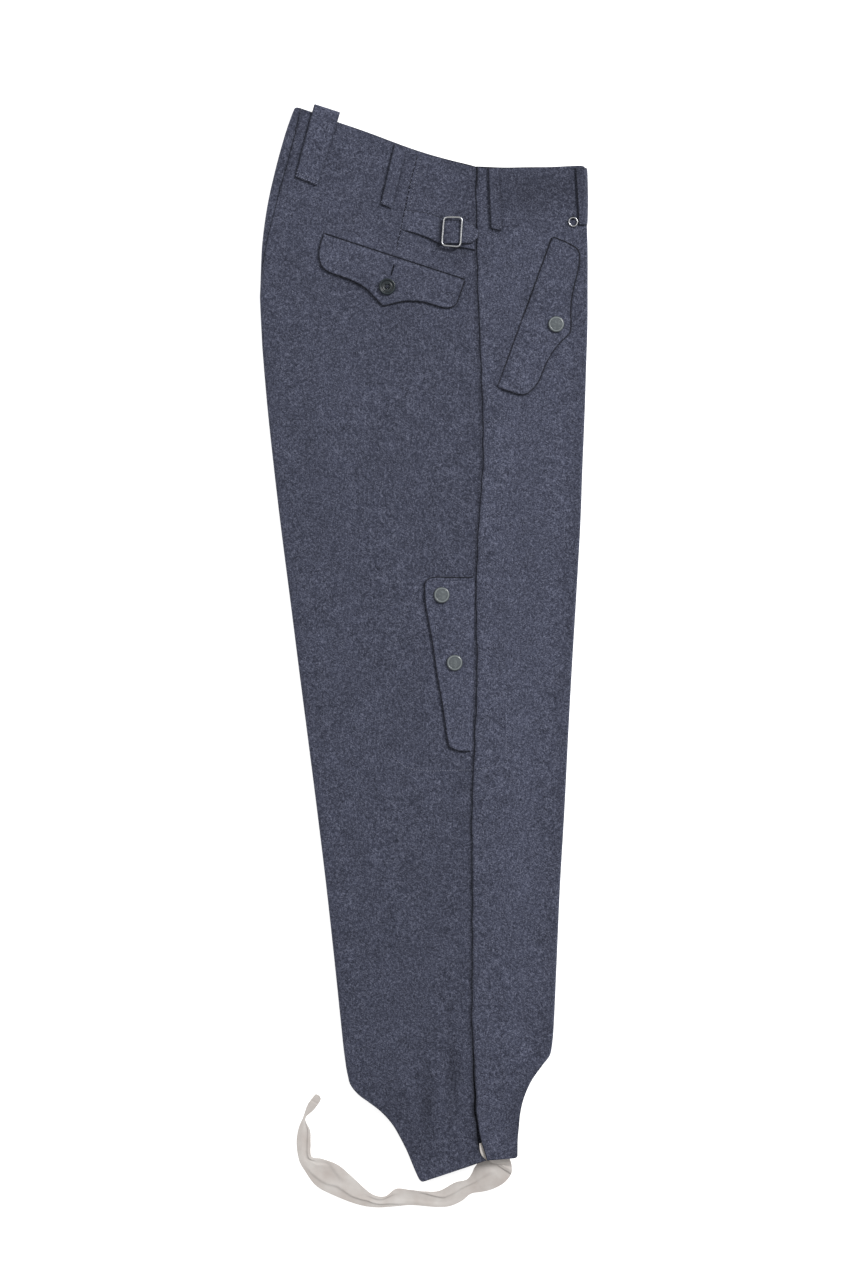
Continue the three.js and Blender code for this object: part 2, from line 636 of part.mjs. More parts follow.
add("right_back_panel", panel("back", true, backColumns), "wool");
add("right_front_panel", panel("front", true, frontColumns), "wool");
add("left_back_panel", panel("back", false, lowerColumns), "wool");
add("left_front_panel", panel("front", false, lowerColumns), "wool");
add("inner_layers", innerLayers(), "woolInside");
add("back_belt_loop", wideLoop(), "wool");
add("rear_side_belt_loop", beltLoop(
  { leftX: -87, leftDown: -27.2, rightX: -74.5, rightDown: -23.2 },
  { leftX: -101.5, leftDown: 38.5, rightX: -89.5, rightDown: 43 },
), "wool");
add("side_belt_loop", beltLoop(
  { leftX: 11.5, leftDown: 0.8, rightX: 23.5, rightDown: 0.8 },
  { leftX: 14.5, leftDown: 65, rightX: 26, rightDown: 67 },
  true,
), "wool");
add("front_belt_loop", creaseLoop(), "wool");
add("cinch_strap", strip(longStrap, strapCloth), "wool");
add("buckle_strap", strip(shortStrap, strapCloth), "wool");
add("cinch_buckle", buckle(), "steel");
add("back_pocket_flap", flap({ x: -161, down: 69 }, { x: -13.5, down: 117.5 }, backFlapEdge, false), "wool");
add("back_pocket_button", turned(buttonProfile, -95, 125, onFlap + 0.3, false), "button");
add("front_pocket_flap", flap({ x: 21.5, down: 229.5 }, { x: 77.5, down: 75 }, frontFlapEdge, true), "wool");
add("front_pocket_snap", turned(snapProfile, 83, 165.5, onFlap + 0.1, true), "snap");
add("knee_pocket_flap", flap({ x: -2.5, down: 430.5 }, { x: -5, down: 611.5 }, kneeFlapEdge, false), "wool");
add("knee_pocket_snap_upper", turned(snapProfile, -37, 449.5, onFlap, false), "snap");
add("knee_pocket_snap_lower", turned(snapProfile, -23.5, 520.5, onFlap, false), "snap");
add("watch_ring", watchRing(), "steel");
add("foot_tape", footTape(), "cotton");

export default trousers;
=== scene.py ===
import math
import bmesh
import bpy
import numpy as np
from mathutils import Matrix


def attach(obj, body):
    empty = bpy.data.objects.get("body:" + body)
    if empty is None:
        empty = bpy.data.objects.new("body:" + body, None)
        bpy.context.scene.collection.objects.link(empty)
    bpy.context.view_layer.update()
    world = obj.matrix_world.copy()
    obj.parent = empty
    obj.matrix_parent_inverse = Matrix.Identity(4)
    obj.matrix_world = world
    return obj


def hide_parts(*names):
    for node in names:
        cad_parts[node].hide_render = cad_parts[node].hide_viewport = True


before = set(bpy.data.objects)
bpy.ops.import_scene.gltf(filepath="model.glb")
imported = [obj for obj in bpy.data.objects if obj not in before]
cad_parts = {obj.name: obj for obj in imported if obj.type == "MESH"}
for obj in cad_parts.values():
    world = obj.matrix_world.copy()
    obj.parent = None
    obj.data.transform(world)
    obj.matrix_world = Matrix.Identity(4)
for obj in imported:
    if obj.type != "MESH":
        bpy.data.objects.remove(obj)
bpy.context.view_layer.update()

# Military trousers of felted wool, lying folded leg on leg.
# Shapes are worked out in millimetres from the side seam at the waist: x towards the front,
# down towards the hem, z up from the ground. toFrame turns them into the frame's metres.
cloth = {
    "wall": 2.0,             # the outer panels
    "leaf": 1.8,             # the inner layers
    "seamGap": 0.3,
    "stack": 13.4,           # the folded leg, four walls
    "waistThinning": 5.8,    # two walls are missing behind the hip
    "crown": 1.5,
    "seamRise": 0.9,         # the front panel stands proud along the side seam
    "tuck": 3.2,             # the back panel runs on this far under it
    "tuckDrop": 1.3,
    "foldLap": 14,           # a folded wall goes on this far under its own leg
    "shortLap": 0.2,         # and this far where its back seam isn't round the fold yet
    "tip": 0.1,              # of a wall's thickness is left at its free edges
    "corner": 3.6,           # corners at the waist and the hems are rounded
    "openTurn": 25,          # a cut edge curls in by so many degrees
    "openRadius": 3.2,
    "lowerInset": 1.2,       # the left leg shows this much less than the right
    "originX": -55.68,
    "originDown": 500.32,
}

# One row for each section down the leg: the back outline, the front panel's seam edge, the front outline,
# the slit between the panels, how far the back seam has turned round the fold, how far in it lies,
# and 1 where the edge is a cut edge and no fold
sectionColumns = [
    "backX", "backDown", "seamX", "seamDown", "frontX", "frontDown",
    "slit", "backTurn", "inboard", "backOpen", "frontTurn", "frontOpen",
]
sectionRows = np.array([
    [-191.6, -61.5, -1, 0, 113.7, 0, 0.3, 8, 2.5, 0, 180, 0],
    [-201.8, -35.5, -1, 24, 113.8, 24, 0.3, 8, 6.5, 0, 180, 0],
    [-210.9, -4, -0.5, 53.5, 115.4, 53.5, 0.3, 8, 7, 0, 180, 0],
    [-220.8, 40, 0, 87, 116.5, 87, 0.3, 8, 5, 0, 180, 0],
    [-226.5, 85, 0.5, 124, 116.5, 124, 0.3, 20, 0.9, 0, 180, 0],
    [-228.45, 134.5, 2.5, 166, 116.3, 166, 0.3, 90, 0, 0, 180, 0],
    [-225.8, 187, 4, 208, 115, 208, 0.3, 150, 0, 0, 180, 0],
    [-220.5, 250, 6, 260.5, 113.3, 260.5, 0.3, 180, 0, 0, 180, 0],
    [-213.8, 313, 6, 316, 111, 316, 0.3, 180, 0, 0, 180, 0],
    [-206.15, 378, 1.5, 378, 108.7, 378, 0.3, 180, 0, 0, 180, 0],
    [-196.6, 452.5, -1.1, 452.5, 104.4, 452.5, 0.3, 180, 0, 0, 180, 0],
    [-187.05, 528, 0.1, 528, 99.8, 528, 0.3, 180, 0, 0, 180, 0],
    [-177.55, 601.5, -2.5, 601.5, 95.8, 601.5, 0.3, 180, 0, 0, 180, 0],
    [-167.95, 677, -5.5, 677, 92, 677, 0.3, 180, 0, 0, 180, 0],
    [-158.6, 754, -5, 754, 87.45, 754, 0.3, 180, 0, 0, 180, 0],
    [-149.95, 832.5, -5, 832.5, 84, 832.5, 0.3, 180, 0, 0, 180, 0],
    [-143.4, 895.5, -5.5, 895.5, 81.2, 895.5, 0.3, 180, 0, 0, 180, 0],
    [-140.1, 927, -4, 922, 79.4, 920, 0.5, 180, 0, 0, 180, 0],
    [-137.6, 946, -3, 942, 77, 933, 0.8, 120, 0, 0, 110, 0],
    [-133.5, 962, -2.5, 956.5, 67.9, 944.5, 1.0, 25, 0, 1, 25, 1],
    [-124.9, 973.5, -2, 969, 58.8, 957, 1.3, 25, 0, 1, 25, 1],
    [-112.9, 982.5, -1.5, 980.5, 52.6, 969, 1.5, 25, 0, 1, 25, 1],
    [-100.6, 992, -1, 991, 47.9, 982, 1.6, 25, 0, 1, 25, 1],
    [-89.2, 1004.5, 0.5, 1001.5, 45.2, 995.5, 1.8, 25, 0, 1, 25, 1],
    [-81, 1018, 2, 1013, 44, 1008, 2.3, 25, 0, 1, 25, 1],
    [-72.9, 1034, 5, 1025, 42.8, 1020.5, 3.9, 25, 0, 1, 25, 1],
    [-65.9, 1051, 8.2, 1036, 42.6, 1032.8, 4.9, 25, 0, 1, 25, 1],
    [-59, 1066.5, 10.5, 1043.4, 42.5, 1040.8, 0.6, 25, 0, 1, 25, 1],
])
sections = dict(zip(sectionColumns, sectionRows.T))

# Soft troughs in the lower leg: from, to, half width and depth
foldColumns = ["fromX", "fromDown", "toX", "toDown", "halfWidth", "depth"]
legFolds = [dict(zip(foldColumns, row)) for row in [
    [-29.5, 926, -25, 1000, 6.5, 1.8],
    [-52.5, 945, -57.5, 1022, 7, 2.0],
    [-79, 973, -76.5, 1012, 5.5, 1.3],
    [-70, 970, -68, 1010, 5, -0.6],
    [-43, 944, -42, 1015, 6, -0.7],
    [-16, 935, -15, 1000, 7, -0.5],
    [-23, 654, -36, 1011, 14, 1.1],
    [24, 860, 20, 1010, 9, 0.7],
]]


def toFrame(x, down, z):
    x, down, z = np.broadcast_arrays(x, down, z)
    return np.stack([x - cloth["originX"], cloth["originDown"] - down, z], axis=-1) / 1000


def smooth(value, low, high):
    t = np.clip((value - low) / (high - low), 0, 1)
    return t * t * (3 - 2 * t)


def bell(away, width):
    return np.exp(-((away / width) ** 2))


def unit(vectors):
    return vectors / np.maximum(np.linalg.norm(vectors, axis=-1, keepdims=True), 1e-9)


def circle(count):
    return np.linspace(0, 2 * math.pi, count, endpoint=False)


# How far along a line of straight pieces each of its points lies
def reachAlong(line):
    return np.concatenate([[0], np.linalg.norm(np.diff(line, axis=0), axis=1).cumsum()])


# Values carried through a table's rows on a curve that also looks at the row before and the row after
def throughRows(values, at):
    values = np.asarray(values, float)
    last = len(values) - 1
    i = np.clip(np.floor(at).astype(int), 0, last - 1)
    t = (at - i).reshape((-1,) + (1,) * (values.ndim - 1))
    before, here = values[np.maximum(i - 1, 0)], values[i]
    there, after = values[i + 1], values[np.minimum(i + 2, last)]
    bend = 2 * before - 5 * here + 4 * there - after
    twist = 3 * (here - there) + after - before
    return here + 0.5 * t * (there - before + t * (bend + t * twist))


# The same in straight steps, for values that mustn't swing past their rows
def betweenRows(values, at):
    values = np.asarray(values, float)
    i = np.clip(np.floor(at).astype(int), 0, len(values) - 2)
    t = (at - i).reshape((-1,) + (1,) * (values.ndim - 1))
    return values[i] * (1 - t) + values[i + 1] * t


# Where the back, seam or front outline runs at a distance down the leg
def edgeAt(side, down):
    return np.interp(down, sections[side + "Down"], sections[side + "X"])


# How deep the folds press the cloth: a rounded trough along each line, fading at its ends
def foldDepth(x, down):
    depth = 0
    for fold in legFolds:
        dx, dd = fold["toX"] - fold["fromX"], fold["toDown"] - fold["fromDown"]
        t = ((x - fold["fromX"]) * dx + (down - fold["fromDown"]) * dd) / (dx * dx + dd * dd)
        away = np.hypot(x - fold["fromX"] - t * dx, down - fold["fromDown"] - t * dd)
        ends = smooth(t, -0.1, 0.2) * (1 - smooth(t, 0.8, 1.1))
        depth = depth + fold["depth"] * ends * bell(away, fold["halfWidth"])
    return depth


# Soft unevenness of pressed wool: three crossed waves of a third of a millimetre
def unevenness(x, down):
    broad = np.sin(x / 29 + 1.3) * np.sin(down / 43 + 0.4)
    slant = np.sin((x + 0.6 * down) / 21 + 2.1) * np.sin((0.8 * x - down) / 37 + 0.9)
    small = np.sin(x / 9.5 + 0.05 * down) * np.sin(down / 13.5 + 1.1 + 0.03 * x)
    return 0.2 * broad + 0.16 * slant + 0.05 * small


# The folded stack's height: four walls, a crown across the leg, and two walls fewer behind the hip
def stackHeight(x, down):
    across = (x - edgeAt("back", down)) / (edgeAt("front", down) - edgeAt("back", down))
    u = np.clip(2 * across - 1, -1, 1)
    crown = cloth["crown"] * (1 - u ** 4) * (1 - 0.5 * smooth(down, 880, 1000))
    thin = cloth["waistThinning"] * (1 - smooth(down, 20, 190)) * (1 - smooth(x, -30, 40))
    return cloth["stack"] + crown - thin


# The right leg's outer face; the front panel's edge stands a little proud along the side seam
def topHeight(x, down, onFront=False):
    rise = cloth["seamRise"] * np.exp(-np.abs(x - edgeAt("seam", down)) / 7) if onFront else 0
    return stackHeight(x, down) - foldDepth(x, down) + rise + unevenness(x, down)


# The same without its unevenness, for what is hard
def evenHeight(x, down, onFront=False):
    return topHeight(x, down, onFront) - unevenness(x, down)


# Places where the cloth's colour is made darker or lighter: the middle, half sizes and change of each place
toneColumns = ["x", "down", "halfX", "halfDown", "change"]
toneZones = [dict(zip(toneColumns, row)) for row in [
    [60, 24, 55, 32, -0.38],
    [-88, 1002, 36, 36, -0.12],
    # The next five are painted shade in the ankle's fold troughs and beside the seam, and a painted highlight
    # on a ridge
    [-54, 978, 9, 44, -0.22],
    [-26, 955, 7, 42, -0.22],
    [-80, 992, 6, 24, -0.12],
    [-39, 990, 7, 42, 0.06],
    [-4, 1000, 5, 55, -0.14],
    # The next five are painted shadow round the buckle and under the straps' ends
    [-24, 72, 34, 26, -0.08],
    [-38.5, 69, 2.6, 15, -0.4],
    [-27, 85.5, 10, 2.4, -0.45],
    [-26, 52, 9, 2, -0.25],
    [-13, 91, 4, 4, -0.4],
    [45, 760, 20, 260, 0.06],
    [-120, 620, 40, 170, 0.05],
    [-150, 250, 30, 90, 0.04],
    [-90, 180, 30, 40, -0.06],
    [-175, 330, 14, 160, -0.06],
    [-28, 520, 22, 80, 0.08],
    [-90, 110, 70, 25, -0.1],
]]
# margin is a painted shade along the front fold, where the leg rounds away. edgeShade and edgeDark set the
# painted shade along free edges; flapShade, litShade and waistShade widen it at flaps, on their sides towards
# the key light, and at the waist edge.
toneLook = {"margin": -0.16, "marginWidth": 17, "edgeShade": 1.3, "edgeDark": 0.07,
            "flapShade": 1.6, "litShade": 0.8, "waistShade": 0.6}


# The cloth's tone at each place, with the painted shade of the margin and of the zones
def toneAndShade(x, down):
    tone = 1 + toneLook["margin"] * bell(edgeAt("front", down) - x, toneLook["marginWidth"])
    for zone in toneZones:
        away = ((x - zone["x"]) / zone["halfX"]) ** 2 + ((down - zone["down"]) / zone["halfDown"]) ** 2
        tone = tone + zone["change"] * np.exp(-away)
    return tone


# The waist edge against a straight line: places where it hangs below (x, half width, how far), and
# stretches over which it rises (from x, to x, how far). Both fade out over the first rows of the table.
waistHangs = [(-68, 42, 1.9), (30, 18, 0.5), (-3, 20, -1.2)]
waistRises = [(-40, -130, 1.3), (-140, -190, 2.2), (70, 112, 1.6)]


def waistSag(x, row):
    hang = sum(height * bell(x - place, width) for place, width, height in waistHangs)
    rise = sum(height * smooth(x, low, high) for low, high, height in waistRises)
    return (hang - rise) * (1 - smooth(row, 0, 1.6))


# Distances from 0 to 1 along a wall, close together where its two ends are rounded
def clustered(count, length, radius=0.95, steps=5):
    ends = radius / length * (1 - np.cos(np.linspace(0, math.pi / 2, steps)))
    middle = np.linspace(ends[-1], 1 - ends[-1], count)
    return np.concatenate([ends[:-1], middle, 1 - ends[:-1][::-1]])


def gridFaces(rows, columns, closeAcross=False):
    across = columns if closeAcross else columns - 1
    i, j = np.meshgrid(np.arange(rows - 1), np.arange(across), indexing="ij")
    here, beside = i * columns + j, i * columns + (j + 1) % columns
    return np.stack([here, beside, beside + columns, here + columns], axis=-1).reshape(-1, 4)


# Faces turned to point outwards, by the sign of the volume that they close
def outward(points, faces):
    corners = points[faces]
    middle = points.mean(axis=0)
    a, b, c, d = (corners[:, k] - middle for k in range(4))
    volume = np.einsum("ij,ij->", a, np.cross(b, c)) + np.einsum("ij,ij->", a, np.cross(c, d))
    return faces if volume > 0 else faces[:, ::-1]


# Millimetres from each point of a grid to the nearest end of its row or column
def fromGridEdge(grid):
    ways = []
    for axis in (0, 1):
        steps = np.linalg.norm(np.diff(grid, axis=axis), axis=2).cumsum(axis=axis) * 1000
        reach = np.concatenate([0 * steps.take([0], axis), steps], axis)
        ways += [reach, reach.take([-1], axis) - reach]
    return np.minimum.reduce(ways)


# Distance from each point of a grid to a line of straight pieces
def fromLine(points, line):
    start, piece = line[:-1], np.diff(line, axis=0)
    offset = points[:, :, None] - start
    along = np.clip((offset * piece).sum(axis=3) / (piece ** 2).sum(axis=1), 0, 1)
    return np.linalg.norm(offset - along[..., None] * piece, axis=3).min(axis=2)


# A closed wall between two grids of points. Near a free edge both faces draw together on a half circle:
# pull = (1 - tip) (1 - sqrt(1 - (1 - d / radius)^2)), with d the distance in from the edge. It also gets a
# painted shade for the dark gap at its edge, falling in a straight line from 1 to 0 over a little more than
# that distance. Where share is less than 1 the edge is rounded and shaded less, as in a seam pressed flat.
def clothWall(over, under, radius=0.95, shade=0.0, share=1.0, reach=toneLook["edgeShade"], nearest=None):
    if nearest is None:
        nearest = fromGridEdge(over)
    pull = (1 - cloth["tip"]) * (1 - np.sqrt(1 - np.clip(1 - nearest / radius, 0, 1) ** 2))
    pull = 0.5 * (share * pull)[:, :, None]
    edgeShade = np.maximum(share * np.clip((reach - nearest) / toneLook["edgeShade"], 0, 1), shade)
    rounded = [over + (under - over) * pull, under + (over - under) * pull]
    rows, columns = over.shape[:2]
    points = np.concatenate([face.reshape(-1, 3) for face in rounded])
    ids = np.arange(rows * columns).reshape(rows, columns)
    border = np.concatenate([ids[0, :-1], ids[:-1, -1], ids[-1, :0:-1], ids[:0:-1, 0]])
    turned = np.roll(border, -1)
    below = rows * columns
    rim = np.stack([turned, border, border + below, turned + below], axis=-1)
    upper = gridFaces(rows, columns)
    faces = np.concatenate([upper, upper[:, ::-1] + below, rim])
    return points, outward(points, faces), np.tile(edgeShade.reshape(-1), 2)


# The same where the two grids lie straight above each other
def slab(x, down, low, high, radius, **more):
    return clothWall(toFrame(x, down, high), toFrame(x, down, low), radius, **more)


def joined(parts):
    starts = np.cumsum([0] + [len(part[0]) for part in parts[:-1]])
    points = np.concatenate([part[0] for part in parts])
    faces = np.concatenate([part[1] + start for part, start in zip(parts, starts)])
    shades = [part[2] if len(part) > 2 else np.zeros(len(part[0])) for part in parts]
    return points, faces, np.concatenate(shades)


# The faces of rings of points that are set one after another
def tubeFaces(points, sides):
    return outward(points, gridFaces(len(points) // sides, sides, closeAcross=True))


# A round wire or thread: points about each place on a path, with a painted shade on its flanks
def wire(path, radius, sides, closed=False):
    ahead, behind = np.roll(path, -1, axis=0), np.roll(path, 1, axis=0)
    if not closed:
        ahead[-1], behind[0] = path[-1], path[0]
    along = unit(ahead - behind)
    side = unit(np.cross(along, [0, 0, 1]))
    rise = np.cross(side, along)
    angle = circle(sides)[None, :, None]
    points = path[:, None] + radius * (side[:, None] * np.cos(angle) + rise[:, None] * np.sin(angle))
    if closed:
        points = np.concatenate([points, points[:1]])
    points = points.reshape(-1, 3)
    flank = np.tile(1 - smooth(np.abs(np.sin(angle.ravel())), 0.4, 0.97), len(points) // sides)
    return points, tubeFaces(points, sides), flank


def addObject(name, data):
    thing = bpy.data.objects.new(name, data)
    bpy.context.scene.collection.objects.link(thing)
    return thing


def newPiece(name, parts, material, node=None, body="trousers", uv=None):
    points, faces, edgeShade = joined(parts)
    mesh = bpy.data.meshes.new(name)
    mesh.from_pydata(points.tolist(), [], faces.tolist())
    tone = toneAndShade(points[:, 0] * 1000 + cloth["originX"], cloth["originDown"] - points[:, 1] * 1000)
    for title, values in [("edgeShade", edgeShade), ("toneAndShade", tone)]:
        marks = mesh.attributes.new(title, "FLOAT", "POINT")
        marks.data.foreach_set("value", values.astype(np.float32))
    if uv is not None:
        layer = mesh.uv_layers.new(name="tapeWeave")
        corner = np.empty(len(mesh.loops), int)
        mesh.loops.foreach_get("vertex_index", corner)
        layer.data.foreach_set("uv", uv[corner].astype(np.float32).ravel())
    work = bmesh.new()
    work.from_mesh(mesh)
    bmesh.ops.remove_doubles(work, verts=work.verts, dist=2e-6)
    work.to_mesh(mesh)
    work.free()
    mesh.polygons.foreach_set("use_smooth", np.ones(len(mesh.polygons), bool))
    mesh.materials.append(material)
    piece = addObject(name, mesh)
    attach(piece, body)
    if node:
        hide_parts(node)
    return piece


# A sewn piece, made like any other piece
def sewnPiece(name, walls, material, node):
    piece = newPiece(name, walls, material, node)


# Each input of a node is set to a value or linked to another node's output; a colour gets its alpha
def setInputs(tree, made, inputs):
    for key, value in inputs.items():
        socket = made.inputs[key]
        if isinstance(value, bpy.types.NodeSocket):
            tree.links.new(value, socket)
        else:
            socket.default_value = (*value, 1) if socket.type == "RGBA" else value


def addNode(tree, kind, inputs, output=0, **settings):
    made = tree.nodes.new("ShaderNode" + kind)
    for title, value in settings.items():
        setattr(made, title, value)
    setInputs(tree, made, inputs)
    return made.outputs[output]


def calc(tree, operation, first, second, clamp=False):
    return addNode(tree, "Math", {0: first, 1: second}, operation=operation, use_clamp=clamp)


def mixColour(tree, share, first, second, blend="MIX"):
    return addNode(tree, "Mix", {0: share, 6: first, 7: second}, 2, data_type="RGBA", blend_type=blend)


def spread(tree, value, low, high, toLow=0.0, toHigh=1.0):
    return addNode(tree, "MapRange", {0: value, 1: low, 2: high, 3: toLow, 4: toHigh})


def noise(tree, place, scale, detail=2.0, roughness=0.55):
    inputs = {"Vector": place, "Scale": scale, "Detail": detail, "Roughness": roughness}
    return addNode(tree, "TexNoise", inputs, "Fac")


def bump(tree, height, distance, strength=0.6):
    return addNode(tree, "Bump", {"Height": height, "Distance": distance, "Strength": strength})


def attribute(tree, title):
    return addNode(tree, "Attribute", {}, "Fac", attribute_name=title)


def newMaterial(name):
    material = bpy.data.materials.new(name)
    material.use_nodes = True
    return material, material.node_tree, material.node_tree.nodes["Principled BSDF"]


# Camera, floor and lights
view = {
    "centreX": 0.00108, "centreY": 0.0042, "height": 1.34295,
    "lens": 85.0, "sensor": 36, "clothHeight": 0.014,
}
studio = {
    "world": 0.44,
    "floorColour": (0.86, 0.86, 0.86), "floorGlow": 0.7, "floorHalf": 24, "floorLevel": -4e-4,
    "key": {"place": (3.1, 2.7, 3.5), "size": 1.8, "power": 240.0},
    "fill": {"place": (-1.6, 1.7, 2.3), "size": 1.6, "power": 16.0},
}


def makeStudio():
    camera = addObject("photoCamera", bpy.data.cameras.new("photoCamera"))
    camera.data.lens = view["lens"]
    camera.data.sensor_width = view["sensor"]
    away = view["height"] * view["lens"] / view["sensor"]
    camera.location = (view["centreX"], view["centreY"], view["clothHeight"] + away)
    scene = bpy.context.scene
    scene.camera = camera
    for name in ["key", "fill"]:
        spec = studio[name]
        lamp = addObject(name + "Light", bpy.data.lights.new(name + "Light", "AREA"))
        lamp.data.size, lamp.data.energy = spec["size"], spec["power"]
        lamp.location = spec["place"]
        x, y, z = lamp.location
        lamp.rotation_euler = (math.atan2(math.hypot(x, y), z), 0, math.atan2(y, x) + math.pi / 2)
    world = bpy.data.worlds.new("studioWorld")
    world.use_nodes = True
    light = {"Color": (1, 1, 1), "Strength": studio["world"]}
    setInputs(world.node_tree, world.node_tree.nodes["Background"], light)
    scene.world = world
    scene.view_settings.view_transform = "Standard"
    half, level = studio["floorHalf"], studio["floorLevel"]
    mesh = bpy.data.meshes.new("paleFloor")
    corners = [(-half, -half, level), (half, -half, level), (half, half, level), (-half, half, level)]
    mesh.from_pydata(corners, [], [(0, 1, 2, 3)])
    paint, tree, shader = newMaterial("palePaint")
    setInputs(tree, shader, {
        "Base Color": studio["floorColour"], "Roughness": 0.9,
        "Emission Color": (1, 1, 1), "Emission Strength": studio["floorGlow"],
    })
    mesh.materials.append(paint)
    addObject("paleFloor", mesh)


makeStudio()
print("studio ready")

# Materials. Colours are linear; lengths of pattern are in metres. A spread gives the range that is read
# and, where it has four values, the range that it becomes.
woolLook = {
    "colours": {
        "Deep": (0.0135, 0.0152, 0.025), "Body": (0.051, 0.056, 0.086), "Light": (0.175, 0.186, 0.255),
    },
    "fibreLength": 0.0034, "fibreWidth": 0.00105,
    "fibreTurns": [(20, 0.0), (83, 0.37), (141, 0.71)],    # degrees, and a shift of the pattern
    "lightSpread": (0.555, 0.75), "deepSpread": (0.445, 0.26),
    "clouds": [(70.0, 3.0, 0.6, (0.25, 0.75, 0.82, 1.17)), (24.0, 2.0, 0.5, (0.3, 0.7, 0.94, 1.06))],
    "nap": 0.00035, "roughness": 0.95, "sheen": 0.18,
}


# Fibres that cross: the same stretched noise turned three ways. The lightest of the three shows as light
# fibres and the darkest as deep gaps; clouds and the cloth's tone, which holds painted shade in places,
# darken the whole, and a painted shade darkens its edges.
def makeFibreGroup():
    group = bpy.data.node_groups.new("crossedFibres", "ShaderNodeTree")
    sockets = {
        "INPUT": [("Vector", "Vector"), ("Deep", "Color"), ("Body", "Color"), ("Light", "Color"),
                  ("Edge Shade", "Float"), ("Tone And Shade", "Float")],
        "OUTPUT": [("Color", "Color"), ("Height", "Float")],
    }
    for way, titles in sockets.items():
        for title, kind in titles:
            group.interface.new_socket(title, in_out=way, socket_type="NodeSocket" + kind)
    start = group.nodes.new("NodeGroupInput").outputs
    fibre = (woolLook["fibreLength"], woolLook["fibreWidth"], woolLook["fibreWidth"])
    fields = []
    for turn, shift in woolLook["fibreTurns"]:
        turned = addNode(group, "Mapping", {
            "Vector": start["Vector"], "Location": (shift, shift * 0.6, shift * 0.3),
            "Rotation": (0, 0, math.radians(turn)), "Scale": fibre,
        }, vector_type="TEXTURE")
        fields.append(noise(group, turned, 1.0, 2.0, 0.6))
    lightest = darkest = fields[0]
    for field in fields[1:]:
        lightest = calc(group, "MAXIMUM", lightest, field)
        darkest = calc(group, "MINIMUM", darkest, field)
    lightShare = spread(group, lightest, *woolLook["lightSpread"])
    deepShare = spread(group, darkest, *woolLook["deepSpread"])
    colour = mixColour(group, lightShare, start["Body"], start["Light"])
    colour = mixColour(group, deepShare, colour, start["Deep"])
    tone = start["Tone And Shade"]
    for scale, detail, roughness, limits in woolLook["clouds"]:
        cloud = noise(group, start["Vector"], scale, detail, roughness)
        tone = calc(group, "MULTIPLY", tone, spread(group, cloud, *limits))
    edge = spread(group, start["Edge Shade"], 0, 1, 1, toneLook["edgeDark"])
    tone = calc(group, "MULTIPLY", tone, edge)
    grey = addNode(group, "CombineColor", {0: tone, 1: tone, 2: tone})
    setInputs(group, group.nodes.new("NodeGroupOutput"), {
        "Color": mixColour(group, 1.0, colour, grey, "MULTIPLY"),
        "Height": calc(group, "SUBTRACT", lightShare, deepShare),
    })
    return group


def makeWool(name, fibres, tone):
    material, tree, shader = newMaterial(name)
    group = tree.nodes.new("ShaderNodeGroup")
    group.node_tree = fibres
    setInputs(tree, group, {
        "Vector": addNode(tree, "TexCoord", {}, "Object"),
        "Edge Shade": attribute(tree, "edgeShade"), "Tone And Shade": attribute(tree, "toneAndShade"),
    })
    for title, colour in woolLook["colours"].items():
        setInputs(tree, group, {title: tuple(tone * part for part in colour)})
    setInputs(tree, shader, {
        "Base Color": group.outputs["Color"], "Roughness": woolLook["roughness"], "Specular IOR Level": 0.2,
        "Sheen Weight": woolLook["sheen"], "Sheen Roughness": 0.5, "Sheen Tint": (0.62, 0.66, 0.85),
        "Normal": bump(tree, group.outputs["Height"], woolLook["nap"]),
    })
    return material


# Cotton: a fine plain weave across the tape and soft cloudy tone
cottonLook = {"weft": ("Y", 0.45, 0.6), "warp": ("X", 0.5, 0.4), "dark": (0.535, 0.48, 0.447),
              "light": (0.665, 0.63, 0.6), "thread": (0.75, 0.73, 0.70), "threadShare": 0.12}


def makeCotton():
    material, tree, shader = newMaterial("ecruCotton")
    waves = []
    for way, scale, distortion in [cottonLook["weft"], cottonLook["warp"]]:
        inputs = {"Vector": addNode(tree, "TexCoord", {}, "UV"), "Scale": scale, "Distortion": distortion}
        waves.append(addNode(tree, "TexWave", inputs, "Fac", bands_direction=way))
    threads = calc(tree, "MULTIPLY", *waves)
    cloud = noise(tree, addNode(tree, "TexCoord", {}, "Object"), 45.0, 3.0)
    colour = mixColour(tree, spread(tree, cloud, 0.3, 0.7), cottonLook["dark"], cottonLook["light"])
    share = calc(tree, "MULTIPLY", threads, cottonLook["threadShare"])
    setInputs(tree, shader, {
        "Base Color": mixColour(tree, share, colour, cottonLook["thread"]), "Roughness": 0.9,
        "Sheen Weight": 0.1, "Normal": bump(tree, threads, 0.00012, 0.5),
    })
    return material


def makeThread(name, colour, sheen=0.2, gloss=0.4):
    material, tree, shader = newMaterial(name)
    twist = noise(tree, addNode(tree, "TexCoord", {}, "Object"), 1400.0, 2.0)
    dark = tuple(0.7 * part for part in colour)
    setInputs(tree, shader, {
        "Base Color": mixColour(tree, spread(tree, twist, 0.35, 0.65), dark, colour), "Roughness": 0.7,
        "Sheen Weight": sheen, "Specular IOR Level": gloss, "Normal": bump(tree, twist, 0.0001),
    })
    return material


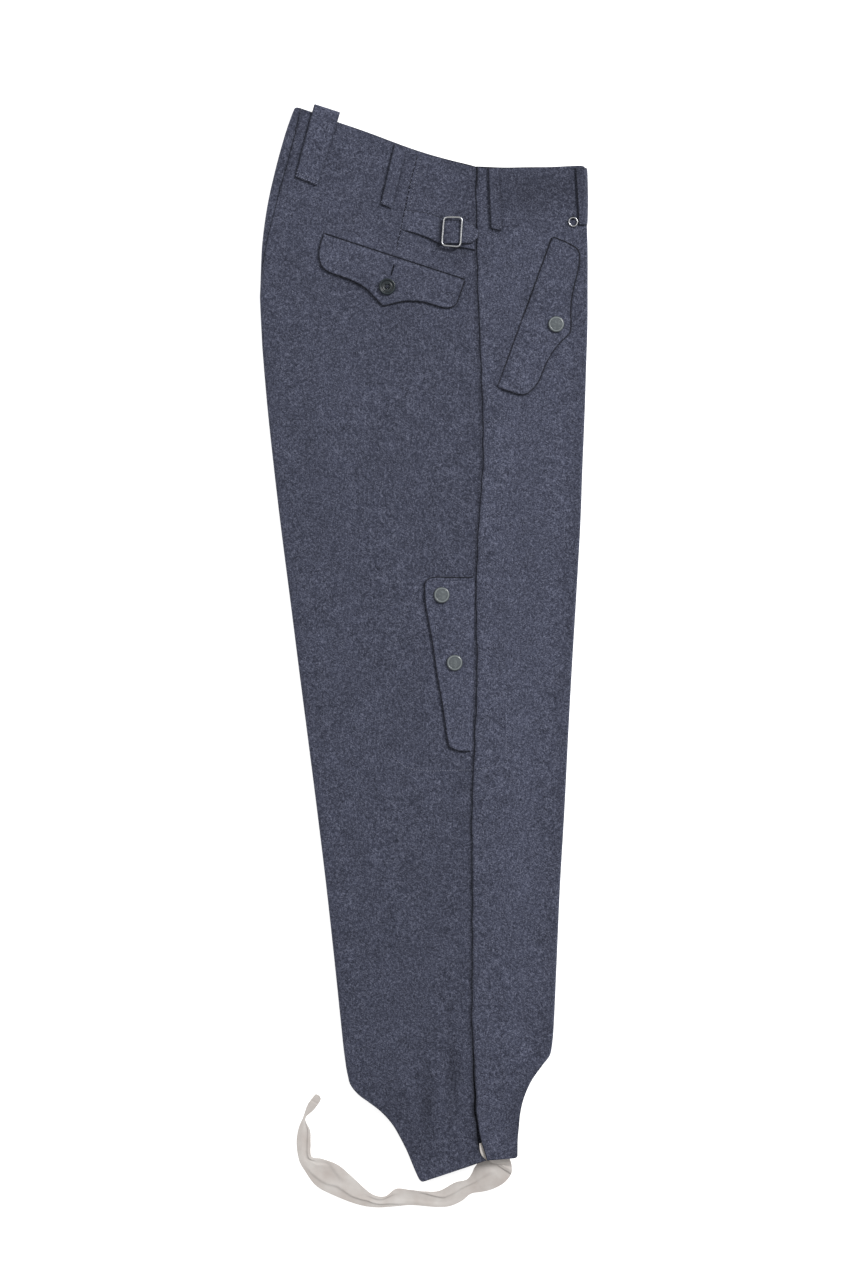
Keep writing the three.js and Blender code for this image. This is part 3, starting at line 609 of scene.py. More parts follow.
# Hard trims: a base colour that wears towards another in cloudy specks. On crests the lighter colour is wear
# and a painted highlight; a painted shade darkens the outline, hollows and a wire's flanks.
def makeHard(name, colour, wearAndHighlight, roughness, metallic, coat=0.0, speckled=1.0):
    material, tree, shader = newMaterial(name)
    specks = noise(tree, addNode(tree, "TexCoord", {}, "Object"), 420.0, 4.0, 0.65)
    marks = attribute(tree, "edgeShade")
    # Below 0 the mark lightens the trim: wear, and a painted highlight on crests
    crest = calc(tree, "MULTIPLY", marks, -1.0, clamp=True)
    wear = calc(tree, "MAXIMUM", spread(tree, specks, 0.5, 0.78, 0, speckled), crest)
    # Above 0 the mark is a painted shade towards near black
    paintedShade = calc(tree, "MULTIPLY", marks, 0.85, clamp=True)
    bare = mixColour(tree, wear, colour, wearAndHighlight)
    setInputs(tree, shader, {
        "Base Color": mixColour(tree, paintedShade, bare, (0.01, 0.011, 0.014)),
        "Roughness": spread(tree, specks, 0.2, 0.8, 0.7 * roughness, 1.3 * roughness),
        "Metallic": metallic, "Coat Weight": coat, "Normal": bump(tree, specks, 0.00004, 0.4),
    })
    return material


fibres = makeFibreGroup()
woolBack, woolFront, woolTrim, woolInside = (
    makeWool("melangeWool" + name, fibres, tone)
    for name, tone in [("Back", 0.97), ("Front", 1.1), ("Trim", 1.07), ("Inside", 0.8)])
cottonTape = makeCotton()
greyThread = makeThread("greyThread", (0.25, 0.265, 0.36))
# Dark thread, also used as a painted shade in the stitch pits, the dart line and the buttonhole slit
darkThreadAndShade = makeThread("darkThreadAndShade", (0.009, 0.01, 0.014), 0.0, 0.05)
buttonHorn = makeHard("darkButton", (0.005, 0.012, 0.017), (0.12, 0.15, 0.15), 0.42, 0.0, 0.1, 0.2)
snapEnamel = makeHard("greyEnamel", (0.09, 0.104, 0.113), (0.26, 0.29, 0.295), 0.34, 0.0, 0.35, 0.6)
brightSteel = makeHard("brightSteel", (0.62, 0.63, 0.65), (0.5, 0.51, 0.53), 0.3, 1.0)
print("materials ready")


# The foot tape comes first, with its route: the two edges of each place on it, and its lift
tapeLook = {
    "cloth": 0.8, "width": 0.023, "crease": 0.9, "outwards": 2.9,
    "fold": 1.3, "peek": 1.1,    # doubled at the hem, and raised where it shows in the vent
    "hem": 0.22, "hemRow": 24.55,
}
tapeRoute = np.array([
    [2.4, 1025.5, 20, 1019.5, 11.2],
    [3.0, 1033, 26, 1028, 11.1],
    [6.0, 1040, 32, 1036.5, 10.2],
    [13, 1044.5, 35.2, 1044, 7.4],
    [17, 1047.5, 36.9, 1050.5, 4.8],
    [14, 1041.5, 36.2, 1059, 2.8],
    [5, 1042.8, 29, 1067, 2.6],
    [-2, 1049.2, 17, 1072.5, 1.4],
    [-5.5, 1056.5, 5.5, 1075.5, 0.4],
    [-11, 1062.5, -6, 1077.5, 0.1],
    [-23, 1065.5, -15.5, 1085, 0.1],
    [-39.5, 1074.2, -28.5, 1090.5, 0.1],
    [-54.5, 1074.8, -43, 1091.5, 0.1],
    [-69.5, 1073.5, -68.5, 1089.5, 0.1],
    [-85, 1072, -87, 1091, 0.1],
    [-97, 1080, -106, 1092, 0.1],
    [-111.5, 1077, -125, 1089, 0.1],
    [-129, 1061.5, -148, 1080.5, 0.1],
    [-146, 1047, -169, 1069.5, 0.1],
    [-163, 1040.5, -181.5, 1053, 0.1],
    [-174, 1038, -187.5, 1041.5, 0.1],
    [-175, 1024, -190, 1024, 0.1],
    [-175.5, 1011, -188, 1009, 0.1],
    [-180.4, 998.3, -183, 996.5, 0.1],
    [-171.6, 989, -178.5, 984, 0.1],
    [-164.6, 978.9, -172.6, 975.3, 0.1],
    [-166, 973.8, -169.6, 972.2, 0.1],
])

# Creases run along the tape: each a line of places (row, share across) beside which the cloth stands higher,
# towards the far edge, or towards the near edge where the width is negative
tapeCreases = [
    {"rows": [6.1, 7, 8.1, 9.3, 10.3, 11, 12.2], "shares": [0.5, 0.45, 0.42, 0.4, 0.46, 0.43, 0.13],
     "height": 1.7, "width": -0.05},
    {"rows": [13.7, 15, 15.8, 16.5, 17.3, 17.7, 18.7], "shares": [0.9, 0.7, 0.55, 0.69, 0.63, 0.74, 0.83],
     "height": 1.5, "width": -0.045},
    {"rows": [17.5, 18, 18.5], "shares": [0.32, 0.22, 0.1], "height": 1.6, "width": -0.07},
    {"rows": [18.5, 18.9, 19.3], "shares": [0.2, 0.38, 0.4], "height": 1.0, "width": 0.06},
    {"rows": [14.2, 14.8], "shares": [0.3, 0.26], "height": 1.5, "width": -0.06},
    {"rows": [15.2, 15.8], "shares": [0.3, 0.22], "height": 1.3, "width": -0.06},
    {"rows": [9, 11.5, 14], "shares": [0.75, 0.8, 0.62], "height": 0.6, "width": 0.1},
    {"rows": [19.4, 20.5, 22.4], "shares": [0.3, 0.26, 0.2], "height": 1.3, "width": -0.045},
    {"rows": [19, 21, 23], "shares": [0.6, 0.55, 0.55], "height": 0.6, "width": 0.12},
]


# On the ground the tape lies a little further out than its route says
def tapeOutwards(rowsAt):
    return tapeLook["outwards"] * smooth(rowsAt, 4.5, 7.5)


def tapeGrid(rowsAt, shares):
    near = throughRows(tapeRoute[:, 0:2], rowsAt)
    far = throughRows(tapeRoute[:, 2:4], rowsAt)
    lift = betweenRows(tapeRoute[:, 4], rowsAt)[:, None]
    places = near[:, None] + (far - near)[:, None] * shares[None, :, None]
    x, down = places[..., 0], places[..., 1] + tapeOutwards(rowsAt)[:, None]
    row, share = rowsAt[:, None], shares[None, :]
    ripple = 0.25 * np.sin(row * 2.3 + 5 * share) * np.sin(share * math.pi) + 0.25 * np.sin(share * 9 + row)
    height = 0.35 + 0.25 * ripple
    for crease in tapeCreases:
        line = np.interp(row, crease["rows"], crease["shares"])
        first, last = crease["rows"][0], crease["rows"][-1]
        inside = smooth(row, first - 0.6, first + 0.3) * (1 - smooth(row, last - 0.3, last + 0.6))
        away = (share - line) / crease["width"]
        step = 0.5 * (1 + np.tanh(away)) * np.exp(-np.clip(away, 0, None) / 5)
        height = height + tapeLook["crease"] * crease["height"] * inside * step
    fold = tapeLook["fold"] * smooth(row, 4.0, 4.7) * (1 - smooth(row + 0.4 * share, 5.3, 5.42))
    peek = tapeLook["peek"] * (1 - smooth(share, 0, 0.2)) * (1 - smooth(row, 2.2, 3.2))
    hem = tapeLook["hem"] * bell(row - tapeLook["hemRow"], 0.07)
    z = lift + np.clip(height, 0.05, None) * smooth(row, 4, 6.5) + fold + peek - hem
    return x, down, z


def makeTape():
    ends = [26 - np.linspace(0, 0.2, 5), np.linspace(0, 0.1, 4)]
    rowsAt = np.unique(np.concatenate([np.linspace(0, 26, 560), *ends]))
    shares = clustered(52, 20, 0.4)
    x, down, z = tapeGrid(rowsAt, shares)
    wall = slab(x, down, z, z + tapeLook["cloth"], 0.4)
    middleDown = (tapeRoute[:, 1] + tapeRoute[:, 3]) / 2 + tapeOutwards(np.arange(len(tapeRoute)))
    centre = toFrame((tapeRoute[:, 0] + tapeRoute[:, 2]) / 2, middleDown, tapeRoute[:, 4] + 0.5)
    along = reachAlong(throughRows(centre, rowsAt))
    u, v = np.meshgrid(along * 1000, shares * 20, indexing="ij")
    uv = np.tile(np.stack([v, u], axis=-1).reshape(-1, 2), (2, 1))
    tape = newPiece("cotton_foot_tape", [wall], cottonTape, "foot_tape", uv=uv)
    middle = throughRows(centre, np.linspace(0, len(centre) - 1, 101))
    print("tape length", round(float(reachAlong(middle)[-1]), 4))


makeTape()
print("tape ready")


# The path of a wall that folds over, from the fold's start round by turn degrees and on by a lap.
# Each place is a distance in from the outline and a drop from the wall's face.
def foldPath(fold):
    angle = np.linspace(0, math.radians(fold["turn"]), 13)
    start = fold["inset"] + fold["radius"] * math.sin(min(angle[-1], math.pi / 2))
    bend = fold["radius"] - cloth["wall"]
    over = np.stack([start - fold["radius"] * np.sin(angle), fold["radius"] * (1 - np.cos(angle))], axis=-1)
    under = np.stack([start - bend * np.sin(angle), fold["radius"] - bend * np.cos(angle)], axis=-1)
    reach = np.array([-math.cos(angle[-1]), math.sin(angle[-1])]) * fold["lap"]
    reach = reach * np.array([0.25, 0.5, 0.75, 0.9, 0.96, 1])[:, None]
    return [np.concatenate([face, face[-1] + reach]) for face in (over, under)]


# How the wall folds at one edge of a section: over the top near the waist, round half the stack lower down,
# with a lap under its own leg past the seat, and barely at a cut edge
def foldAt(section, side, upper, stack):
    turn = section[side + "Turn"]
    radians = math.radians(turn)
    if section[side + "Open"]:
        inset = 0 if upper else cloth["lowerInset"]
        return {"radius": cloth["openRadius"], "turn": cloth["openTurn"], "lap": 0.5, "inset": inset}
    onTop = turn < 10
    if turn < 90 and upper:
        past = 0 if onTop else math.sin(radians)
        inset = section["inboard"] + stack / 2 * (1 - past) + cloth["seamGap"]
        return {"radius": stack / 2, "turn": turn, "lap": cloth["shortLap"], "inset": inset}
    if onTop:
        lap = section["inboard"] - cloth["shortLap"]
        return {"radius": stack / 2, "turn": 180, "lap": lap, "inset": 0}
    if turn < 90:
        return {"radius": stack / 2, "turn": 180 - turn, "lap": cloth["shortLap"], "inset": 0}
    lap = cloth["foldLap"] if turn > 170 else 0.3
    radius = ((stack - cloth["seamGap"]) / 2 - lap * math.sin(radians)) / (1 - math.cos(radians))
    inset = 0 if upper or turn < 100 else cloth["lowerInset"]
    return {"radius": radius, "turn": turn, "lap": lap, "inset": inset}


# Rows down the leg by their distance along the side seam, given as places in the section table,
# and how far each is from the nearer end
def rowsDownLeg(spacing):
    reach = reachAlong(np.stack([sections["seamX"], sections["seamDown"]], axis=-1))
    distances = clustered(int(reach[-1] / spacing), reach[-1], cloth["corner"], 9) * reach[-1]
    return np.interp(distances, reach, np.arange(len(reach))), np.minimum(distances, reach[-1] - distances)


# One panel of a leg: from the side seam to the fold, then round it. The back panel runs on a little
# under the front panel's edge, down to where the ankle vent opens. It gives the outer and the inner face,
# the painted shadow beside the seam, and how much of the edge rounding and painted shade each place gets.
def panelWall(side, upper, rowsAt, fromEnd, across):
    toBack = side == "back"
    table = throughRows(sectionRows, rowsAt)
    row = dict(zip(sectionColumns, table.T))
    slit = betweenRows(sections["slit"], rowsAt)
    edge = np.stack([row[side + "X"], row[side + "Down"]], axis=-1)
    wander = 0.28 * np.sin(row["seamDown"] / 5.3) + 0.22 * np.sin(row["seamDown"] / 8.1 + 1)
    seam = np.stack([row["seamX"] + wander - (slit if toBack else 0), row["seamDown"]], axis=-1)
    away = np.clip(1 - fromEnd / cloth["corner"], 0, 1)
    cut = cloth["corner"] * (1 - np.sqrt(1 - away ** 2))
    edge = edge + (seam - edge) * (cut / np.linalg.norm(seam - edge, axis=1))[:, None]
    width = np.linalg.norm(seam - edge, axis=1)
    inward = (seam - edge) / width[:, None]
    paths = []
    for values in sectionRows:
        section = dict(zip(sectionColumns, values))
        corner = np.array([section[side + "X"], section[side + "Down"]])
        middle = np.array([section["seamX"], section["seamDown"]])
        stack = float(stackHeight(*(corner + unit(middle - corner) * 4)))
        paths.append(foldPath(foldAt(section, side, upper, stack)))
    over, under = (betweenRows(faces, rowsAt) for faces in zip(*paths))
    tuck = cloth["tuck"] * (1 - smooth(row["seamDown"], 885, 930)) if toBack else 0 * width
    reach = (width + tuck)[:, None] + (over[:, 0, 0] - width - tuck)[:, None] * across[None, :]
    drop = -1 if upper else 1

    def placed(inDistance, depth, faceFrom=None):
        x = edge[:, None, 0] + inward[:, None, 0] * inDistance
        down = edge[:, None, 1] + inward[:, None, 1] * inDistance
        down = down + waistSag(x, rowsAt[:, None])
        fx, fd = faceFrom or (x, down)
        past = np.clip(inDistance - width[:, None], 0, None)
        face = topHeight(fx, fd, not toBack) if upper else np.zeros_like(fx)
        return x, down, face + drop * (depth + cloth["tuckDrop"] * smooth(past, 0, 2.4))

    topX, topDown, _ = placed(reach, 0)
    foldFrom = (topX[:, -1:], topDown[:, -1:])
    faces = []
    for depth, fold in [(0, over), (cloth["wall"], under)]:
        top = toFrame(*placed(reach, depth))
        folded = toFrame(*placed(fold[:, 1:, 0], fold[:, 1:, 1], foldFrom))
        faces.append(np.concatenate([top, folded], axis=1))
    past = np.concatenate([width[:, None] - reach, width[:, None] + 0 * over[:, 1:, 0]], axis=1)
    if not toBack:
        return *faces, 0 * past, 1 + 0 * past
    # A painted shadow on the back panel beside the front panel's raised edge, weaker towards the waist
    seamShade = (0.3 + 0.4 * smooth(row["seamDown"], 40, 80))[:, None] * bell(past, 2.2)
    pressed = (0.5 + 0.35 * smooth(row["backDown"], 25, 75))[:, None] * (past > 20)
    return *faces, seamShade if upper else 0 * past, 1 - pressed


def makePanel(name, side, upper, spacing, columns, material, flat, restsOn, area):
    across = clustered(columns, 180 if side == "back" else 110)
    across = np.append(across[across < 1 - 0.6 / 110], 1.0)
    rowsAt, fromEnd = rowsDownLeg(spacing)
    over, under, shade, share = panelWall(side, upper, rowsAt, fromEnd, across)
    # The painted edge shade reaches further along the waist edge
    reach = toneLook["edgeShade"] + toneLook["waistShade"] * (rowsAt < 1)[:, None]
    wall = clothWall(over, under, shade=shade, share=share, reach=reach)
    sewnPiece("wool_" + name, [wall], material, name + "_panel")


# The four outer panels: side, whether on top, row spacing, columns, the cut of what shows and what it lies on
panels = {
    "right_back": ["back", True, 3.0, 62, woolBack, (0.262, 1.13), "inner_layers", 0.204],
    "right_front": ["front", True, 3.0, 36, woolFront, (0.145, 1.06), "inner_layers", 0.117],
    "left_back": ["back", False, 7.0, 26, woolBack, (0.275, 1.13), "", 0.206],
    "left_front": ["front", False, 7.0, 18, woolFront, (0.145, 1.06), "", 0.117],
}
for name, values in panels.items():
    makePanel(name, *values)
print("panels ready")


# The inner halves of both legs: two flat walls between the outer ones, seen at the waist and the ankles.
# Each is given by whether it belongs to the upper leg, its first and last row, its columns, how far in from
# the back and the front outline it ends at rows of the table, and the height of the wave along its ends.
innerLegs = {
    "apart": 0.15, "radius": 0.85,
    "leg": [([7, 17.6, 18.4, 19, 27], [18, 18, 8, 3.6, 3.6]), ([7, 17.6, 18.4, 19, 27], [18, 18, 8, 2.8, 2.8])],
    "waist": [([0, 3, 7], [205, 235, 238]), ([0, 7], [18, 18])],
    "walls": [
        [True, 6.6, 26.82, 44, "leg", 0.45],
        [False, 6.6, 26.8, 44, "leg", 0.4],
        [True, 0.05, 6.5, 24, "waist", 0.4],
        [False, 0.07, 6.5, 24, "waist", 0.4],
    ],
}


def innerWall(upper, fromRow, toRow, columns, ends, wave):
    rowsAt = np.linspace(fromRow, toRow, int((toRow - fromRow) * 9) + 2)
    row = dict(zip(sectionColumns, throughRows(sectionRows, rowsAt).T[..., None]))
    inBack, inFront = (np.interp(rowsAt, *places)[:, None] for places in innerLegs[ends])
    x = row["backX"] + inBack
    x = x + (row["frontX"] - inFront - x) * clustered(columns, 190)
    toSeam = (x - row["backX"]) / (row["seamX"] - row["backX"])
    toFront = (x - row["seamX"]) / (row["frontX"] - row["seamX"])
    down = np.where(
        toSeam < 1,
        row["backDown"] + (row["seamDown"] - row["backDown"]) * toSeam,
        row["seamDown"] + (row["frontDown"] - row["seamDown"]) * np.clip(toFront, 0, 1),
    )
    atEnds = np.clip(smooth(rowsAt, 18, 24) + (rowsAt < 1.5), 0, 1)[:, None]
    low = cloth["stack"] / 2 + (innerLegs["apart"] if upper else -innerLegs["apart"] - cloth["leaf"])
    z = low + wave * np.sin(x / 17 + fromRow) * atEnds
    return slab(x, down, z, z + cloth["leaf"], innerLegs["radius"])


walls = [innerWall(*values) for values in innerLegs["walls"]]
sewnPiece("wool_inner_legs", walls, woolInside, "inner_layers")
print("inner legs ready")


# Strips of cloth, for belt loops and straps
strip = {"cloth": 1.8, "radius": 0.8, "crown": 0.2, "softRight": 0.7}


def crowned(share):
    return 1 - (2 * share - 1) ** 4


# A flat strip that lies on a panel: its two edges and its lift from the face below, with a low crown.
# Towards its right edge, which faces the light, it is rounded less and gets less painted shade.
def stripWall(rows, onFront=False, perRow=10, columns=12, softRight=0.0):
    rowsAt = (len(rows) - 1) * clustered(perRow * (len(rows) - 1), 70, strip["radius"])
    table = throughRows(rows, rowsAt)
    share = clustered(columns, 14, strip["radius"])
    x = table[:, 0:1] + (table[:, 2:3] - table[:, 0:1]) * share
    down = table[:, 1:2] + (table[:, 3:4] - table[:, 1:2]) * share
    low = topHeight(x, down, onFront) + table[:, 4:5]
    high = low + strip["cloth"] + strip["crown"] * crowned(share)
    return slab(x, down, low, high, strip["radius"], share=1 - softRight * smooth(share, 0.5, 0.9))


# Two belt loops between the waist edge and their feet, bowed off the cloth between their sewn ends.
# The bow is given by shares of the length and the lift there.
loopBow = [[0, 0.4], [0.12, 1.1], [0.5, 1.5], [0.88, 1.1], [1, 0.4]]
beltLoops = {
    "rearSide": {
        "node": "rear_side_belt_loop", "onFront": False, "flat": (0.013, 0.078),
        "top": [-86.6, -24.9, -74.3, -20.4], "foot": [-101.5, 38.5, -89.5, 43],
    },
    "side": {
        "node": "side_belt_loop", "onFront": True, "flat": (0.013, 0.076),
        "top": [11.5, 0.8, 23.5, 0.8], "foot": [14.5, 65, 26, 67],
    },
}


def makeBeltLoop(name, loop):
    top, foot = np.array(loop["top"]), np.array(loop["foot"])
    rows = [[*(top + (foot - top) * share), lift] for share, lift in loopBow]
    wall = stripWall(rows, loop["onFront"], softRight=strip["softRight"])
    sewnPiece("wool_loop_" + name, [wall], woolTrim, loop["node"])


for name, loop in beltLoops.items():
    makeBeltLoop(name, loop)

# The wide loop at the back hooks over the waist edge: its end goes down inside the waist. Each row has the
# distance down the loop and the lift of its outer face, then those of its inner face.
wideLoop = {
    "top": [-170.9, -67.4, -143.9, -58.6],
    "foot": [-191.5, 10, -168, 19],
    "length": 77,
    "rows": [
        [18, -4.3, 18, -2.5],
        [5, -4.2, 5, -2.4],
        [1.2, -3.4, 2.6, -1.8],
        [0, -1, 1.9, -0.8],
        [0.9, 1.6, 2.6, 0.2],
        [4.2, 2.6, 4.6, 0.7],
        [14, 3, 14, 1.1],
        [45, 3, 45, 1.2],
        [66, 2.6, 66, 0.7],
        [77, 2.2, 77, 0.4],
    ],
}


# Its two edges at distances down it
def wideLoopEdges(reach):
    top, foot = (np.array(wideLoop[end]).reshape(2, 2) for end in ("top", "foot"))
    return top + (foot - top) * np.reshape(reach / wideLoop["length"], (-1, 1, 1))


def makeWideLoop():
    rowsAt = (len(wideLoop["rows"]) - 1) * clustered(110, 100, strip["radius"])
    outerReach, outerLift, innerReach, innerLift = throughRows(wideLoop["rows"], rowsAt).T
    share = clustered(20, 26, strip["radius"])

    def face(reach, lift, crown):
        edges = wideLoopEdges(reach)
        place = edges[:, :1] + (edges[:, 1:] - edges[:, :1]) * share[:, None]
        x, down = place[..., 0], place[..., 1]
        bulge = crown * crowned(share) * smooth(rowsAt, 4, 6)[:, None]
        return toFrame(x, down, topHeight(x, down) + lift[:, None] + bulge)

    outer, inner = face(outerReach, outerLift, 0.25), face(innerReach, innerLift, 0)
    # Its right edge, towards the light, is rounded less and gets less painted shade
    wall = clothWall(outer, inner, strip["radius"], share=1 - strip["softRight"] * smooth(share, 0.6, 0.95))
    sewnPiece("wool_loop_back", [wall], woolTrim, "back_belt_loop")


makeWideLoop()

# The loop at the front crease lies half on the panel and half round its fold
creaseLoop = {
    "bow": [[0, 0.4], [0.12, 1], [0.5, 1.3], [0.88, 1], [1, 0.4]],
    "top": 0.8, "length": 60.2, "left": 103.5, "leftGrows": 3.5, "foldLimit": 113.9,
}


def makeCreaseLoop():
    rowsAt = (len(creaseLoop["bow"]) - 1) * clustered(46, 60, strip["radius"])
    share, lift = throughRows(creaseLoop["bow"], rowsAt).T[..., None]
    down = creaseLoop["top"] + creaseLoop["length"] * share
    left = creaseLoop["left"] + creaseLoop["leftGrows"] * share
    radius = (cloth["stack"] - cloth["seamGap"]) / 4
    foldX = np.minimum(edgeAt("front", down), creaseLoop["foldLimit"]) - radius
    flat = np.concatenate([clustered(6, 7, strip["radius"])[:-3], [1.0]])
    angle = np.radians(np.concatenate([np.linspace(8, 80, 10), [82, 83.5, 85]]))
    base = topHeight(foldX, down, True) - radius

    def face(height):
        x = left + (foldX - left) * flat
        line = toFrame(x, down, topHeight(x, down, True) + height)
        reach = radius + height
        arc = toFrame(foldX + reach * np.sin(angle), down, base + reach * np.cos(angle))
        return np.concatenate([line, arc], axis=1)

    wall = clothWall(face(lift + strip["cloth"]), face(lift), strip["radius"])
    sewnPiece("wool_loop_front", [wall], woolTrim, "front_belt_loop")


makeCreaseLoop()
print("belt loops ready")

# Straps of the waist cinch: two edges and the lift of each place
longStrap = [
    [-77, 44.3, -81.5, 65.2, -2.1],
    [-70, 45, -75.3, 66.6, -0.7],
    [-63, 46, -69.5, 68.2, 0.3],
    [-55.5, 47, -63, 70, 0.4],
    [-44, 50, -50, 75, 0.6],
    [-36, 53.6, -39, 80.5, 0.9],
    [-27, 55.4, -28.5, 80.6, 2.5],
    [-14, 55.6, -15, 80.8, 2.7],
    [-6.5, 58, -7, 80.5, 2.7],
    [-2, 63, -2.5, 78, 2.7],
    [2, 68, 2, 73, 2.9],
]
shortStrap = [
    [-27, 58, -27.5, 83, 0.4],
    [-14.5, 58.5, -14.5, 85, 0.4],
    [-1.8, 60, -1.8, 87.5, 0.4],
]


def makeStraps():
    long = stripWall(longStrap, perRow=12, columns=20)
    sewnPiece("wool_cinch_strap", [long], woolTrim, "cinch_strap")
    short = stripWall(shortStrap, perRow=20, columns=16)
    sewnPiece("wool_buckle_strap", [short], woolTrim, "buckle_strap")


makeStraps()
print("straps ready")

# Pocket flaps: the sewn edge from one end to the other, and the free edge as distances along it and out
# from it
flapLook = {
    "cloth": 2.2, "gap": 0.45, "rootDepth": 1.5, "rootReach": 7.0,
    "groove": 0.3, "grooveAt": 5.0, "puff": 0.35, "puffAt": 2.4, "thinnest": 1.6,
}
flaps = {
    "back_pocket": {
        "node": "back_pocket_flap", "from": [-161, 69], "to": [-13.5, 117.5], "onFront": False,
        "flat": (0.054, 0.157), "area": 0.0062, "welt": True,
        "edge": [
            [0, 3], [0.6, 17.5], [6.5, 32], [16.7, 37.6], [33.4, 38.4], [47.7, 39.4], [60.1, 42.4],
            [70.8, 47.7], [80.1, 52.9], [84.1, 53.7], [91.5, 49.2], [102.1, 42.9], [113.5, 38.9],
            [125.5, 36.6], [138.1, 36.4], [147.7, 35.1], [155.1, 30.1], [156.8, 21.9], [157, 10.9],
            [157.2, 2.5],
        ],
    },
    "front_pocket": {
        "node": "front_pocket_flap", "from": [21.5, 229.5], "to": [77.5, 75], "onFront": True,
        "flat": (0.053, 0.169), "area": 0.0068, "welt": True,
        "edge": [
            [-2.2, 3], [-2.1, 12.6], [-1.6, 24.4], [2, 32.1], [11.5, 37.6], [21.3, 40.1], [36.4, 40.5],
            [50.7, 42.8], [64.2, 47], [76.8, 52.8], [84.1, 52.2], [103.9, 45], [120.5, 41.4], [142, 38.9],
            [154.7, 36.5], [163.1, 31.2], [165.9, 22.1], [166.9, 8.2], [167, 2],
        ],
    },
    "knee_pocket": {
        "node": "knee_pocket_flap", "from": [-2.5, 430.5], "to": [-5, 611.5], "onFront": False,
        "flat": (0.054, 0.183), "area": 0.0071, "welt": False,
        "edge": [
            [0, 3], [0.2, 25], [0.5, 44], [4.9, 51.2], [12.3, 52.7], [31.5, 51.2], [68.2, 44], [105, 38.1],
            [137.3, 31.8], [174, 26.1], [180.6, 20.9], [183, 13.5], [183.2, 3],
        ],
    },
}


# The key light's direction over the ground, towards the front and up the leg
towardsKey = np.array([0.754, -0.657])


def flapAxes(flap):
    start, end = np.array(flap["from"], float), np.array(flap["to"], float)
    along = unit(end - start)
    return start, along, np.array([-along[1], along[0]]), np.linalg.norm(end - start)


# Places given by their distances along a flap's sewn edge and out from it
def flapPlaces(flap, along, out):
    start, alongAxis, outAxis, _ = flapAxes(flap)
    return tuple(start[i] + alongAxis[i] * along + outAxis[i] * out for i in (0, 1))


# How high a flap's face stands: low where it comes out of its seam, full past the root, with a shallow
# groove along its topstitching and a puffed edge beyond it
def flapLift(fromRoot, fromEdge):
    root = flapLook["rootDepth"] * (1 - smooth(fromRoot, 0, flapLook["rootReach"]))
    groove = flapLook["groove"] * bell(fromEdge - flapLook["grooveAt"], 1.1)
    puff = flapLook["puff"] * bell(fromEdge - flapLook["puffAt"], 1.6)
    return flapLook["gap"] + flapLook["cloth"] - root - groove + puff


def makeFlap(name, flap):
    _, along, out, length = flapAxes(flap)
    last = len(flap["edge"]) - 1
    rowsAt = last * clustered(last * 9, length + 40)
    outline = throughRows(flap["edge"], rowsAt)
    reach, drop = outline.T[..., None]
    sewn = np.clip(reach, 0, length) * 0.9 + length * 0.1 * rowsAt[:, None] / last
    share = clustered(44, 42)
    a, b = sewn * (1 - share) + reach * share, drop * share
    x, down = flapPlaces(flap, a, b)
    fromEdge = fromLine(np.stack([a, b], axis=-1), outline)
    base, lift = topHeight(x, down, flap["onFront"]), flapLift(b, fromEdge)
    low = base + np.minimum(flapLook["gap"], lift - flapLook["thinnest"])
    # The painted shade along the flap's outline reaches further on the sides that face the key light
    turn = unit(np.gradient(outline, axis=0))
    lit = np.clip((turn[:, :1] * out - turn[:, 1:] * along) @ towardsKey, 0, 1)[:, None]
    nearest = np.minimum(fromEdge, b) if flap["welt"] else fromEdge
    reach = toneLook["flapShade"] + toneLook["litShade"] * lit
    wall = slab(x, down, low, base + lift, 1.0, reach=reach, nearest=nearest)
    sewnPiece("wool_flap_" + name, [wall], woolTrim, flap["node"])


# A welt above a flap: the pocket's upper lip, which covers the flap's root and dies out in the panel
weltLook = {"width": 13, "beyond": 2.5, "overFlap": 0.4, "lip": 1.95, "sinks": 0.3, "depth": 1.2}


def makeWelt(name, flap):
    length, beyond = flapAxes(flap)[3], weltLook["beyond"]
    a = (length + 2 * beyond) * clustered(70, length)[:, None] - beyond
    b = clustered(16, weltLook["width"]) * weltLook["width"]
    x, down = flapPlaces(flap, a, weltLook["overFlap"] - b)
    ends = smooth(a, -beyond, 3) * (1 - smooth(a, length - 3, length + beyond))
    base = topHeight(x, down, flap["onFront"])
    lip = weltLook["lip"] * (1 - smooth(b, 0, 11)) * ends
    lip = lip - weltLook["sinks"] * smooth(b, 8, 12) - weltLook["sinks"] * (1 - ends)
    wall = slab(x, down, base - weltLook["depth"], base + lip, strip["radius"])
    newPiece("wool_welt_" + name, [wall], woolFront if flap["onFront"] else woolBack)


for name, flap in flaps.items():
    makeFlap(name, flap)
    if flap["welt"]:
        makeWelt(name, flap)
print("flaps ready")


# Round trims: a profile of radius and height turned about an upright line, set on what carries it
def turnedPart(profile, shades, centre, base, onFront, dimples=()):
    at = np.linspace(0, len(profile) - 1, (len(profile) - 1) * 5 + 1)
    angle = circle(48)
    shade = np.repeat(np.interp(at, np.arange(len(profile)), shades), len(angle))
    radius, height = throughRows(profile, at).T[..., None]
    radius = np.clip(radius, 0, None)
    x, down = radius * np.cos(angle), radius * np.sin(angle)
    z = height + 0 * x
    for dx, dd, size, depth in dimples:
        away = ((x - dx) ** 2 + (down - dd) ** 2) / size ** 2
        hole = smooth(at, 3, 4)[:, None] * np.exp(-away ** 2)
        z = z - depth * hole
        # The holes get a painted shade
        shade = np.maximum(shade, 1.2 * hole.ravel())
    level = evenHeight(*centre, onFront) + base
    points = toFrame(centre[0] + x, centre[1] + down, level + z).reshape(-1, 3)
    return points, tubeFaces(points, len(angle)), shade


